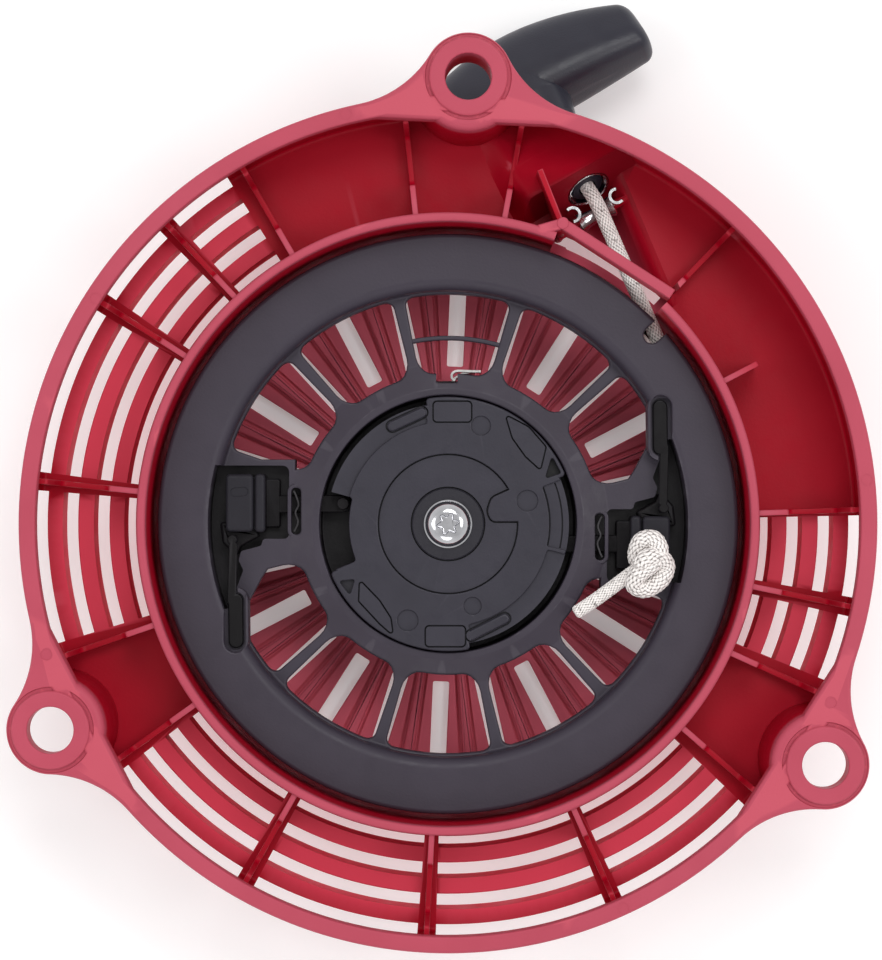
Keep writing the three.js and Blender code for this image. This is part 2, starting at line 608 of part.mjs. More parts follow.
/** Flat coiled strip in the hub, its outer end folded back round the barrel. */
function recoilSpring() {
  const path = [[36.4, 80], [35.6, 84], [34.4, 87], [32.4, 89.5], [30.6, 92.5]];
  const steps = STRIP.turns * 14;
  for (let i = 0; i <= steps; i += 1) {
    const share = i / steps;
    path.push([STRIP.outer - share * (STRIP.outer - STRIP.inner), 100 + share * 360 * STRIP.turns]);
  }
  const points = path.map(([r, a]) => new THREE.Vector2(...polar(r, a)));
  const side = (sign) => points.map((point, i) => {
    const before = points[Math.max(i - 1, 0)];
    const after = points[Math.min(i + 1, points.length - 1)];
    const along = after.clone().sub(before).normalize();
    const shift = sign * STRIP.thickness / 2;
    return new THREE.Vector2(point.x - shift * along.y, point.y + shift * along.x);
  });
  const outline = new THREE.Shape([...side(1), ...side(-1).reverse()]);
  return prism(outline, STRIP.bottom, STRIP.bottom + STRIP.width);
}

// ---------------------------------------------------------------- ratchets
/** Left ratchet: pivot block with a ridge, a cam arm under the web and a finger. */
function ratchet() {
  const { arm, armTop, blockTop, tipUnder, tipTop } = RATCHET_Z;
  const block = box(-50.7, -43.6, -1.8, 11.4, arm, blockTop);
  const ridge = box(-44, -41.6, -1.8, 11.4, arm, blockTop - 1);
  const camArm = capsule(new THREE.Vector2(-43, 4.5), CAM_PIN, 2, arm, armTop);
  const camPin = post(CAM_PIN_R, CAM_PIN.x, CAM_PIN.y, arm, GUIDE.top - 0.6, 16);
  const shank = capsule(new THREE.Vector2(-49, 0), new THREE.Vector2(-49.2, -7), SHANK_HALF, arm + 4, tipTop);
  const finger = capsule(new THREE.Vector2(-46.8, 0), RATCHET_TIP, FINGER_HALF, tipUnder, tipTop);
  const pivotHole = post(2.3, PIVOT.x, PIVOT.y, arm - 1, 33.4, 16);
  return cut(join(block, ridge, camArm, camPin, shank, finger), pivotHole);
}

/** Leaf spring that stands in the slot beside the pocket. */
function ratchetSpring() {
  return box(-35, -34.2, -1.8, 7.7, RATCHET_Z.armTop + 0.7, WEB.top + 0.8);
}

/** Disc over the hub: two cam slots, moulded pockets and a stepped centre. */
function ratchetGuide() {
  const blank = turned([
    [SCREW.shankR + 0.4, GUIDE.hubUnder], [GUIDE.hubR, GUIDE.hubUnder], [GUIDE.hubR, GUIDE.under],
    [GUIDE.radius, GUIDE.under], [GUIDE.radius, GUIDE.top], [GUIDE.stepR, GUIDE.top],
    [GUIDE.stepR, GUIDE.stepZ], [GUIDE.recessR, GUIDE.stepZ], [GUIDE.recessR, GUIDE.recessZ],
    [SCREW.shankR + 0.4, GUIDE.recessZ],
  ], 40);
  const { radius, half, from, to } = CAM_SLOT;
  const camSlot = sectorPrism(radius - half, radius + half, from, to, GUIDE.under - 1, GUIDE.top + 1);
  const lowBand = sectorPrism(23.8, GUIDE.radius + 1, 112, 160, GUIDE.top - 1.2, GUIDE.top + 1);
  const pocket = box(-4.6, 3.4, 23.2, 27, GUIDE.top - 1, GUIDE.top + 1).translate([1.2, 0, 0]);
  const lobe = post(2.2, 11.6, 4.1, GUIDE.stepZ - 0.3, GUIDE.top, 16);
  const bridge = box(11.6, GUIDE.stepR + 1, 2, 6, GUIDE.stepZ - 0.3, GUIDE.top);
  return join(cut(blank, bothSides(camSlot), bothSides(lowBand), bothSides(pocket)), lobe, bridge);
}

/** Open wire ring under the guide with one leg up to it. */
function frictionSpring() {
  const { wireR, coilR, from, to } = FRICTION;
  const z = HUB.floorTop + 0.5 + wireR;
  const points = [];
  for (let angle = from; angle <= to; angle += 20) {
    points.push(new THREE.Vector3(...polar(coilR, angle), z));
  }
  const upright = post(wireR, points[0].x, points[0].y, z, GUIDE.under - GAP, 8);
  return join(tube(new THREE.CatmullRomCurve3(points), wireR, 16), upright);
}

function thrustWasher() {
  return ring(SCREW.shankR + 0.5, 7, POST.topZ + GAP, POST.topZ + GAP + 1, 16);
}

/** Pan-head screw with a six-lobed socket. */
function centerScrew() {
  const { headR, headZ, headTop, shankR, tipZ } = SCREW;
  const shape = turned([
    [0, tipZ], [shankR - 0.6, tipZ], [shankR, tipZ + 1.5], [shankR, headZ], [headR, headZ],
    [headR, headZ + 1.1], [headR - 0.8, headZ + 2.4], [headR - 2.6, headTop - 0.1], [0, headTop],
  ], 18);
  const star = new THREE.Shape();
  for (let i = 0; i < 12; i += 1) {
    const point = polar(i % 2 ? 1.9 : 2.7, i * 30);
    if (i === 0) star.moveTo(...point);
    else star.lineTo(...point);
  }
  return cut(shape, prism(star, headZ + 1, headTop + 1));
}

// ---------------------------------------------------------------- rope
function ropeWinding() {
  const { inner, outer } = WINDING;
  const bottom = GROOVE.bottom + GAP;
  const top = GROOVE.top - GAP;
  return turned([
    [inner, bottom], [outer - 1.2, bottom], [outer, bottom + 1.2], [outer, top - 1.2], [outer - 1.2, top],
    [inner, top],
  ], 36);
}

/** The rope from the winding, over the roller and into the grip's nose. */
function ropeRun() {
  const foot = new THREE.Vector3(...polar(TANGENT_R, TANGENT_ANGLE), ROPE_Z);
  const bend = EXIT.clone().addScaledVector(pullAxis, -(ROPE_Z - EXIT.z) / Math.sin(PULL_DIP));
  const away = bend.clone().sub(foot).normalize();
  const points = [22.2, 28, 34, 40, 46].map((t) => foot.clone().addScaledVector(away, t));
  points.push(bend.clone().addScaledVector(away, -4));
  points.push(bend.clone().addScaledVector(away, -1.6).add(new THREE.Vector3(0, 0, -0.05)));
  points.push(bend.clone().addScaledVector(pullAxis, 1.6).add(new THREE.Vector3(0, 0, -0.05)));
  points.push(EXIT.clone().addScaledVector(pullAxis, -1.4), EXIT.clone().addScaledVector(pullAxis, 0.6));
  return tube(new THREE.CatmullRomCurve3(points), ROPE_R, 16);
}

function knot(centre, sizes) {
  const geometry = new THREE.IcosahedronGeometry(1, 1);
  return solid(geometry.scale(...sizes).translate(...centre));
}

function ropeTail() {
  const points = TAIL.map((point) => new THREE.Vector3(...point));
  return tube(new THREE.CatmullRomCurve3(points), ROPE_R, 5);
}

// ---------------------------------------------------------------- grip
/** Half-width of the bar at a distance from its middle. */
function barHalfWidth(v) {
  const x = Math.min(Math.abs(v) / GRIP.half, 1);
  return GRIP.width * (1 - 0.38 * x ** 1.9);
}

/** The bar: straight on the finger side and crowned on the palm side. */
function gripBar() {
  const ends = 1.8;
  const stations = [-1, -0.7, -0.35, 0, 0.35, 0.7, 1].map((s) => s * (GRIP.half - ends));
  const profile = [[0, -GRIP.half], [barHalfWidth(GRIP.half) * 0.72, -GRIP.half]];
  for (const v of stations) profile.push([barHalfWidth(v), v]);
  profile.push([barHalfWidth(GRIP.half) * 0.72, GRIP.half], [0, GRIP.half]);
  const outline = profile.map(([r, v]) => new THREE.Vector2(r, v));
  const geometry = new THREE.LatheGeometry(outline, 18).rotateZ(-Math.PI / 2);
  geometry.scale(1, GRIP.flat, 1);
  const position = geometry.attributes.position;
  for (let i = 0; i < position.count; i += 1) {
    position.setZ(i, position.getZ(i) + GRIP.fingerW + barHalfWidth(position.getX(i)));
  }
  return solid(geometry);
}

function gripHandle() {
  const stem = turned([
    [0, -0.6], [3.6, -0.6], [4.05, 0], [4.05, 2.4], [5.4, 3.4], [6.4, 12], [7, 19], [8.6, 26],
    [8.6, 34], [0, 34],
  ], 18);
  const bore = disc(ROPE_R + 0.4, -2, GRIP.pocketW + 1, 10);
  const pocket = disc(GRIP.pocketR, GRIP.pocketW, 60, 18);
  return inExitFrame(cut(join(gripBar(), stem), bore, pocket));
}

function gripCap() {
  return inExitFrame(turned([[0, 40], [4.4, 40], [4.9, 40.5], [4.9, 45.2], [3.8, 46], [0, 46.2]], 18));
}

function gripWasher() {
  return inExitFrame(ring(2.1, 4.8, GRIP.pocketW + GAP, GRIP.pocketW + GAP + 1, 14));
}

function ropeLead() {
  return inExitFrame(disc(ROPE_R, 0.9, GRIP.pocketW + 1.8, 8));
}

function ropeGripKnot() {
  return inExitFrame(knot([0, 0, 35.6], [4.2, 4.4, 4.2]));
}

// ---------------------------------------------------------------- materials and assembly
const MATERIALS = {
  red_plastic: { color: 0xb3203a, roughness: 0.42, metalness: 0 },
  black_plastic: { color: 0x2c292d, roughness: 0.45, metalness: 0 },
  guide_plastic: { color: 0x3a373c, roughness: 0.4, metalness: 0 },
  grip_rubber: { color: 0x1b1a1c, roughness: 0.5, metalness: 0 },
  bright_steel: { color: 0xc9c9cc, roughness: 0.25, metalness: 1 },
  spring_steel: { color: 0x8d9096, roughness: 0.35, metalness: 1 },
  rope_fibre: { color: 0xd9d3c6, roughness: 0.9, metalness: 0 },
};

const assembly = new THREE.Group();

/** Add a piece as a mesh about its own centre, placed by its position. */
function place(name, part, material) {
  const { min, max } = part.boundingBox();
  const centre = min.map((low, k) => (low + max[k]) / 2);
  const { vertProperties, triVerts, numProp } = part.getMesh();
  const positions = new Float32Array(triVerts.length * 3);
  triVerts.forEach((vertex, i) => {
    for (let k = 0; k < 3; k += 1) positions[3 * i + k] = vertProperties[vertex * numProp + k] - centre[k];
  });
  const geometry = new THREE.BufferGeometry();
  geometry.setAttribute('position', new THREE.BufferAttribute(positions, 3));
  geometry.computeVertexNormals();
  const mesh = new THREE.Mesh(geometry, new THREE.MeshStandardMaterial(MATERIALS[material]));
  mesh.name = name;
  mesh.position.set(...centre);
  assembly.add(mesh);
}

const leftRatchet = ratchet();
const leftSpring = ratchetSpring();

place('housing', housing(), 'red_plastic');
place('rope_eyelet', ropeEyelet(), 'bright_steel');
place('rope_roller', ropeRoller(), 'bright_steel');
place('reel', reel(), 'black_plastic');
place('recoil_spring', recoilSpring(), 'spring_steel');
place('ratchet_left', leftRatchet, 'black_plastic');
place('ratchet_right', turnZ(leftRatchet, 180), 'black_plastic');
place('ratchet_spring_left', leftSpring, 'spring_steel');
place('ratchet_spring_right', turnZ(leftSpring, 180), 'spring_steel');
place('ratchet_guide', ratchetGuide(), 'guide_plastic');
place('friction_spring', frictionSpring(), 'spring_steel');
place('thrust_washer', thrustWasher(), 'bright_steel');
place('center_screw', centerScrew(), 'bright_steel');
place('rope_winding', ropeWinding(), 'rope_fibre');
place('rope_run', ropeRun(), 'rope_fibre');
place('rope_reel_knot', knot(KNOT.centre, KNOT.sizes), 'rope_fibre');
place('rope_tail', ropeTail(), 'rope_fibre');
place('grip_handle', gripHandle(), 'grip_rubber');
place('grip_cap', gripCap(), 'grip_rubber');
place('grip_washer', gripWasher(), 'bright_steel');
place('rope_lead', ropeLead(), 'rope_fibre');
place('rope_grip_knot', ropeGripKnot(), 'rope_fibre');

export default assembly;
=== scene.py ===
"""Looks of a recoil starter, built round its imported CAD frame."""

import math
from contextlib import contextmanager

import bmesh
import bpy
import numpy as np
from mathutils import Matrix, Vector


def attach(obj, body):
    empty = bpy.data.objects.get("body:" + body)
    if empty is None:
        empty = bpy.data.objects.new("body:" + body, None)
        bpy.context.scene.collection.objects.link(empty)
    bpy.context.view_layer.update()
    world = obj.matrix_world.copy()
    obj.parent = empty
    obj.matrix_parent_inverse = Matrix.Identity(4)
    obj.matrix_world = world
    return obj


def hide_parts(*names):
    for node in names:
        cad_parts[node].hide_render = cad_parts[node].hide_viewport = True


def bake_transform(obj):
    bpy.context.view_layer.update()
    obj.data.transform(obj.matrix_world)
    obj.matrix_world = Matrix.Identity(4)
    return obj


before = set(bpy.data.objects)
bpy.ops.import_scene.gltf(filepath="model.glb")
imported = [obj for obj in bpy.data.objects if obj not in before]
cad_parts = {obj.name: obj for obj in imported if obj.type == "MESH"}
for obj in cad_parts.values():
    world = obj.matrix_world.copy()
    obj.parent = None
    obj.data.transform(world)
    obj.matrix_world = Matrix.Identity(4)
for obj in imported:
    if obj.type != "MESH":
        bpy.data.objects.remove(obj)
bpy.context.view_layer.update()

MM = 0.001
DEG = math.pi / 180
SCENE = bpy.context.scene


def linked(name, data):
    obj = bpy.data.objects.new(name, data)
    SCENE.collection.objects.link(obj)
    return obj


# ------------------------------------------------------------------ camera
CAMERA_HEIGHT = 0.702
SHIFT_X, SHIFT_Y = -0.0073, 0.0458
SCENE.view_settings.view_transform = "Standard"
camera = linked("camera", bpy.data.cameras.new("camera"))
camera.data.lens = 109.3
camera.data.sensor_width = 36
camera.data.shift_x = SHIFT_X
camera.data.shift_y = SHIFT_Y
camera.location = (0, 0, CAMERA_HEIGHT)
SCENE.camera = camera

# ------------------------------------------------------------------ dimensions, millimetres
BODY_R = 96
BOLT_R = 100
EAR_ANGLES = (87.4, 207.4, 327.4)
EAR_R = 9.97
EAR_FILLET_R = 24.4
EAR_HOLE_R = 5.2
EAR_PAD_R = 8.8
EAR_UNDER_Z, DEEP_EAR_UNDER_Z = 46.5, 38
SHOULDER_R = BODY_R - 3
RIM_Z = 51.4
PAD_Z = 52
DECK_Z = 30
DECK_UNDER_Z = 26
WELL_OUT_R = 69.8
WELL_IN_R = 67.8
WELL_TOP_Z = 50
FLOOR_T = 2.6
RIB_T, RIB_FOOT, RIB_TOP, RIB_ROOT = 1.3, 27, 49, WELL_IN_R + 1
RIB_ANGLES = (2, 46, 79.5, 96, 120, 133.2, 147.4, 174, 199, 215.5, 240.5, 267, 293.8, 319, 335.5, 348.4)
STUB_ANGLE = 27.4
BAYS = (
    (122.5, 132), (134.5, 146), (148.7, 172.7), (175.3, 197), (217, 239.2),
    (241.8, 265.7), (268.3, 292.5), (295, 316.5), (337.5, 347), (349.7, 361.2),
)
LOUVRES = ((72, 74.1), (78.1, 81.1), (85.3, 88.3))
HEADING = 119.5
DIP = 30
EXIT = Vector((31.9, 77.9, 30))
CHANNEL_LOW, CHANNEL_HIGH, CHANNEL_WALL = -10.5, 11.5, 2
CHANNEL_FLOOR, CHANNEL_UNDER, TROUGH_END = 18, 15.8, -32
CHANNEL_SIDE = ((31.3, 101.9), (55.6, 44.6))
ROOF_RAMP, ROOF_MIDDLE, ROOF_OUTER, ROOF_END, ROOF_T = 35.6, (12, 31.6), (22, 28.8), (40, 28.8), 1.9
RAMP_HALF = 1.1
LIP_R = 92.2
REEL_R = 66
REEL_TOP = 40
WEB_TOP, WEB_UNDER = 34, 31
ROPE_R = 1.75
ROPE_Z = 32.6

PULL = Vector((
    math.cos(HEADING * DEG) * math.cos(DIP * DEG),
    math.sin(HEADING * DEG) * math.cos(DIP * DEG),
    -math.sin(DIP * DEG),
))
BAR = Vector((math.sin(HEADING * DEG), -math.cos(HEADING * DEG), 0))
ACROSS = PULL.cross(BAR)


# ------------------------------------------------------------------ outlines
def polar(radius, angle):
    return radius * math.cos(angle * DEG), radius * math.sin(angle * DEG)


def arc(cx, cy, radius, start, end, count):
    """Points on an arc, both ends included."""
    out = []
    for i in range(count + 1):
        x, y = polar(radius, start + (end - start) * i / count)
        out.append((cx + x, cy + y))
    return out


def circle(radius, count=64, cx=0, cy=0):
    return arc(cx, cy, radius, 0, 360, count)[:-1]


def fillet(points, radii, steps=4):
    """A closed outline with its corners rounded; radii is one number or one for each corner."""
    count = len(points)
    if not hasattr(radii, "__len__"):
        radii = [radii] * count
    out = []
    for i in range(count):
        p = Vector(points[i])
        before, after = Vector(points[i - 1]) - p, Vector(points[(i + 1) % count]) - p
        angle = before.angle(after)
        if radii[i] <= 0 or angle > 3.1 or angle < 0.05:
            out.append(tuple(p))
            continue
        reach = radii[i] / math.tan(angle / 2)
        limit = 0.49 * min(before.length, after.length)
        radius = radii[i] * min(1, limit / reach)
        reach = min(reach, limit)
        a, b = before.normalized(), after.normalized()
        centre = p + (a + b).normalized() * (radius / math.sin(angle / 2))
        first, last = p + a * reach - centre, p + b * reach - centre
        sweep = first.angle_signed(last)
        for k in range(steps + 1):
            t = -sweep * k / steps
            c, s = math.cos(t), math.sin(t)
            out.append((
                centre.x + first.x * c - first.y * s,
                centre.y + first.x * s + first.y * c,
            ))
    return out


def rounded(corners, steps=4):
    """A closed outline from corners of (x, y, radius)."""
    return fillet([c[:2] for c in corners], [c[2] for c in corners], steps)


def dense(points, step):
    """The same closed outline with no edge longer than step."""
    out = []
    for i, p in enumerate(points):
        q = points[(i + 1) % len(points)]
        parts = max(1, math.ceil(math.dist(p, q) / step))
        out += [(p[0] + (q[0] - p[0]) * k / parts, p[1] + (q[1] - p[1]) * k / parts) for k in range(parts)]
    return out


def sector(inner, outer, start, end, radii=0.0, step=2.0):
    """Outline of an annular sector with rounded corners; radii are (inner, outer) or one number."""
    if not hasattr(radii, "__len__"):
        radii = (radii, radii)
    mid = (inner + outer) / 2
    s0, s1 = start * DEG * mid, end * DEG * mid
    square = fillet(
        [(s0, inner), (s0, outer), (s1, outer), (s1, inner)], [radii[0], radii[1], radii[1], radii[0]], 5,
    )
    return [polar(r, s / mid / DEG) for s, r in dense(square, step)]


def capsule(x0, y0, x1, y1, half, count=10):
    heading = math.degrees(math.atan2(y1 - y0, x1 - x0))
    return arc(x1, y1, half, heading - 90, heading + 90, count) + arc(
        x0, y0, half, heading + 90, heading + 270, count
    )


def rectangle(x0, x1, y0, y1, radius=0.0):
    return fillet([(x0, y0), (x1, y0), (x1, y1), (x0, y1)], radius)


def area(points):
    p = np.array(points)
    q = np.roll(p, -1, 0)
    return float((p[:, 0] * q[:, 1] - q[:, 0] * p[:, 1]).sum() / 2)


def offset(points, distance):
    """The outline moved outwards by a small distance."""
    p = np.array(points, float)
    if area(points) < 0:
        distance = -distance
    a, b = p - np.roll(p, 1, 0), np.roll(p, -1, 0) - p
    a /= np.maximum(np.linalg.norm(a, axis=1, keepdims=True), 1e-9)
    b /= np.maximum(np.linalg.norm(b, axis=1, keepdims=True), 1e-9)
    n = np.stack([a[:, 1] + b[:, 1], -a[:, 0] - b[:, 0]], 1)
    n /= np.maximum(np.linalg.norm(n, axis=1, keepdims=True), 1e-9)
    lean = np.maximum((n * np.stack([b[:, 1], -b[:, 0]], 1)).sum(1, keepdims=True), 0.5)
    return [tuple(q) for q in p + n * distance / lean]


def curve_through(points, count):
    """Catmull-Rom points through a list of points."""
    p = np.array(points, float)
    p = np.vstack([2 * p[0] - p[1], p, 2 * p[-1] - p[-2]])
    out = []
    for i in range(len(p) - 3):
        a, b, c, d = p[i : i + 4]
        for k in range(count):
            t = k / count
            square, cube = 2 * a - 5 * b + 4 * c - d, 3 * b - a - 3 * c + d
            out.append(0.5 * (2 * b + (c - a) * t + square * t**2 + cube * t**3))
    out.append(p[-2])
    return np.array(out)


# ------------------------------------------------------------------ solids
@contextmanager
def edited(mesh):
    """A mesh opened for bmesh operators, and written back."""
    bm = bmesh.new()
    bm.from_mesh(mesh)
    yield bm
    bm.to_mesh(mesh)
    bm.free()


def mesh_object(name, vertices, faces):
    """A closed mesh from points in millimetres, its faces pointing out."""
    mesh = bpy.data.meshes.new(name)
    mesh.from_pydata([(x * MM, y * MM, z * MM) for x, y, z in vertices], [], faces)
    with edited(mesh) as bm:
        bmesh.ops.recalc_face_normals(bm, faces=bm.faces)
    return linked(name, mesh)


def loft(loops, closed=False):
    """Skin over loops of equally many points, capped at both ends or closed on itself."""
    count = len(loops[0])
    vertices = [p for loop in loops for p in loop]
    faces = []
    rows = len(loops) if closed else len(loops) - 1
    for i in range(rows):
        a, b = i * count, (i + 1) % len(loops) * count
        faces += [(a + k, a + (k + 1) % count, b + (k + 1) % count, b + k) for k in range(count)]
    if not closed:
        faces += [tuple(range(count)), tuple(range((len(loops) - 1) * count, len(loops) * count))]
    return mesh_object("loft", vertices, faces)


def lathe(profile, segments=192, start=0, end=360):
    """A closed (radius, z) profile turned round the Z axis, or part of the way round."""
    whole = end - start >= 360
    steps = segments if whole else max(2, round(segments * (end - start) / 360))
    angles = [start + (end - start) * i / steps for i in range(steps if whole else steps + 1)]
    loops = [[(*polar(r, a), z) for r, z in profile] for a in angles]
    obj = loft(loops, closed=whole)
    if min(r for r, _ in profile) < 1e-6:
        with edited(obj.data) as bm:
            bmesh.ops.remove_doubles(bm, verts=bm.verts, dist=1e-7)
            bmesh.ops.dissolve_degenerate(bm, dist=1e-8, edges=bm.edges)
            bmesh.ops.recalc_face_normals(bm, faces=bm.faces)
    return obj


def quarter_turn(steps):
    """Sines and cosines from 0 to 90 degrees."""
    angles = [k / steps * math.pi / 2 for k in range(steps + 1)]
    return [(math.sin(t), math.cos(t)) for t in angles]


def low_edge(z, radius, steps=3):
    """Heights and outward moves of a prism's lower edge, rounded by radius."""
    if not radius:
        return [(z, 0)]
    return [(z + radius * (1 - c), -radius * (1 - s)) for s, c in quarter_turn(steps)]


def top_edge(z, radius, steps=3):
    """The same for its upper edge, where a negative radius flares outwards."""
    if not radius:
        return [(z, 0)]
    size = abs(radius)
    return [(z - size + size * s, -radius * (1 - c)) for s, c in quarter_turn(steps)]


def stacked(outline, levels):
    """Prism of an outline moved outwards by another distance at each height."""
    return loft([[(x, y, z) for x, y in (offset(outline, d) if d else outline)] for z, d in levels])


def slab(outline, bottom, top, low_round=0.0, top_round=0.0, steps=3):
    """Prism of an outline with rounded edges."""
    return stacked(outline, low_edge(bottom, low_round, steps) + top_edge(top, top_round, steps))


def cutter(outline, floor, surface, lip=0.3, floor_round=0.0):
    """A prism that cuts a pocket whose lip at the surface is rounded."""
    return stacked(outline, low_edge(floor, floor_round) + top_edge(surface, -lip) + [(surface + 3, lip)])


def moved(obj, matrix):
    obj.data.transform(matrix)
    return obj


def turned(obj, angle):
    return moved(obj, Matrix.Rotation(angle * DEG, 4, "Z"))


def shifted(obj, x, y, z=0.0):
    return moved(obj, Matrix.Translation(Vector((x, y, z)) * MM))


def twin(obj):
    """A copy half a turn round the axis."""
    return turned(linked("twin", obj.data.copy()), 180)


def with_twins(shapes):
    return [*shapes, *[twin(obj) for obj in shapes]]


def gathered(objects):
    """Shapes that don't touch each other, as one mesh."""
    mesh = bpy.data.meshes.new("gathered")
    with edited(mesh) as bm:
        for obj in objects:
            bm.from_mesh(obj.data)
            bpy.data.objects.remove(obj)
    return linked("gathered", mesh)


def set_attribute(obj, name, values):
    """One number for each vertex, which a material reads."""
    obj.data.attributes.new(name, "FLOAT", "POINT").data.foreach_set("value", values.astype(np.float32))


def apply_modifiers(obj):
    graph = bpy.context.evaluated_depsgraph_get()
    mesh = bpy.data.meshes.new_from_object(
        obj.evaluated_get(graph), preserve_all_data_layers=True, depsgraph=graph,
    )
    obj.modifiers.clear()
    obj.data = mesh


def boolean(target, operation, tools):
    for tool in tools:
        mod = target.modifiers.new("solid", "BOOLEAN")
        mod.operation = operation
        mod.solver = "MANIFOLD"
        mod.object = tool
        apply_modifiers(target)
        bpy.data.objects.remove(tool)
    return target


def add(target, *tools):
    return boolean(target, "UNION", tools)


def cut(target, *tools):
    return boolean(target, "DIFFERENCE", tools)


def keep(target, *tools):
    return boolean(target, "INTERSECT", tools)


def within(obj, radius):
    """The part of a shape inside a cylinder round the axis."""
    return keep(obj, slab(circle(radius, 240), 0, 60))


def frame_matrix(x, y, z, origin):
    """Local axes to the row frame, with the origin in millimetres."""
    m = Matrix((x, y, z)).transposed().to_4x4()
    m.translation = Vector(origin) * MM
    return m


def in_exit(obj):
    return moved(obj, frame_matrix(BAR, ACROSS, PULL, EXIT))


def upright(outline, thickness, angle, edge=0.3):
    """A thin radial plate, standing, from its outline in radius and height."""
    plate = slab(outline, -thickness / 2, thickness / 2, edge, edge, 2)
    moved(plate, Matrix.Rotation(math.pi / 2, 4, "X"))
    return turned(plate, angle)


def across_prism(points, low, high):
    """Prism along the grip's bar direction from an outline of (distance along the pull, height)."""
    heading = Vector((math.cos(HEADING * DEG), math.sin(HEADING * DEG), 0))
    prism = slab(points, low, high)
    return moved(prism, frame_matrix(heading, Vector((0, 0, 1)), BAR, (EXIT.x, EXIT.y, 0)))


def wall_between(a, b, thickness, bottom, top, edge=0.3):
    outline = rectangle(0, math.dist(a, b), -thickness / 2, thickness / 2)
    wall = slab(outline, bottom, top, 0, edge)
    heading = math.degrees(math.atan2(b[1] - a[1], b[0] - a[0]))
    return shifted(turned(wall, heading), *a)


def merge_flat(obj):
    """Join the triangles of each flat face into one."""
    with edited(obj.data) as bm:
        bmesh.ops.dissolve_limit(bm, angle_limit=0.15 * DEG, verts=bm.verts, edges=bm.edges)


def smooth(obj, angle=32):
    """Smooth shading in which the large faces keep their own normals."""
    if angle < 90 and "slat" not in obj.data.attributes:
        merge_flat(obj)
    obj.data.shade_smooth()
    obj.data.set_sharp_from_angle(angle=angle * DEG)
    mod = obj.modifiers.new("normals", "WEIGHTED_NORMAL")
    mod.keep_sharp = True
    mod.weight = 50
    apply_modifiers(obj)


# ------------------------------------------------------------------ materials
def new_material(name):
    """A material, its node tree and its shader node."""
    material = bpy.data.materials.new(name)
    material.use_nodes = True
    return material, material.node_tree, material.node_tree.nodes["Principled BSDF"]


def fed(tree, node, **values):
    """A node with its inputs set: each value is a plain one or another node's output."""
    for name, value in values.items():
        socket = node.inputs[name.replace("_", " ")]
        if isinstance(value, bpy.types.NodeSocket):
            tree.links.new(value, socket)
        else:
            socket.default_value = value
    return node


def object_coords(tree):
    return tree.nodes.new("ShaderNodeTexCoord").outputs["Object"]


def noise(tree, coords, scale, detail=3.0, rough=0.5):
    node = tree.nodes.new("ShaderNodeTexNoise")
    return fed(tree, node, Scale=scale, Detail=detail, Roughness=rough, Vector=coords).outputs["Fac"]


def remap(tree, source, low, high, start=0.35, end=0.65):
    node = tree.nodes.new("ShaderNodeMapRange")
    fed(tree, node, From_Min=start, From_Max=end, To_Min=low, To_Max=high, Value=source)
    return node.outputs["Result"]


def ramped(tree, source, stops):
    """Colour that runs through (position, colour) stops as the source rises."""
    node = tree.nodes.new("ShaderNodeValToRGB")
    elements = node.color_ramp.elements
    while len(elements) < len(stops):
        elements.new(0.5)
    for element, (position, colour) in zip(elements, stops):
        element.position = position
        element.color = (*colour, 1)
    return fed(tree, node, Fac=source).outputs["Color"]


def mixed(tree, share, colour, other, blend="MIX"):
    node = tree.nodes.new("ShaderNodeMix")
    node.data_type = "RGBA"
    node.blend_type = blend
    return fed(tree, node, Factor=share, A=colour, B=other).outputs["Result"]


def attribute_value(tree, name):
    node = tree.nodes.new("ShaderNodeAttribute")
    node.attribute_name = name
    return node.outputs["Fac"]


def painted_edge_highlight(tree, colour, bright, amount):
    """Lighter colour along sharp convex edges: a painted highlight, as rounded edges catch the light."""
    geometry = tree.nodes.new("ShaderNodeNewGeometry")
    edge = remap(tree, geometry.outputs["Pointiness"], 0, amount, 0.53, 0.62)
    return mixed(tree, edge, colour, (*bright, 1))


def bump(tree, shader, heights, strength, distance):
    """Bump from the sum of several height outputs."""
    total = heights[0]
    for other in heights[1:]:
        adder = tree.nodes.new("ShaderNodeMath")
        adder.operation = "ADD"
        tree.links.new(total, adder.inputs[0])
        tree.links.new(other, adder.inputs[1])
        total = adder.outputs[0]
    node = tree.nodes.new("ShaderNodeBump")
    fed(tree, node, Strength=strength, Distance=distance, Height=total)
    fed(tree, shader, Normal=node.outputs["Normal"])


def by_height(tree, coords, colour, levels):
    """Another colour at each height, faded between, which paints light and shade by height; levels are
    (height in millimetres, colour).
    """
    split = fed(tree, tree.nodes.new("ShaderNodeSeparateXYZ"), Vector=coords)
    height = remap(tree, split.outputs["Z"], 0, 1, 0, PAD_Z * MM)
    shade = ramped(tree, height, [(z / PAD_Z, tint) for z, tint in levels])
    return mixed(tree, 1, shade, colour, "MULTIPLY")


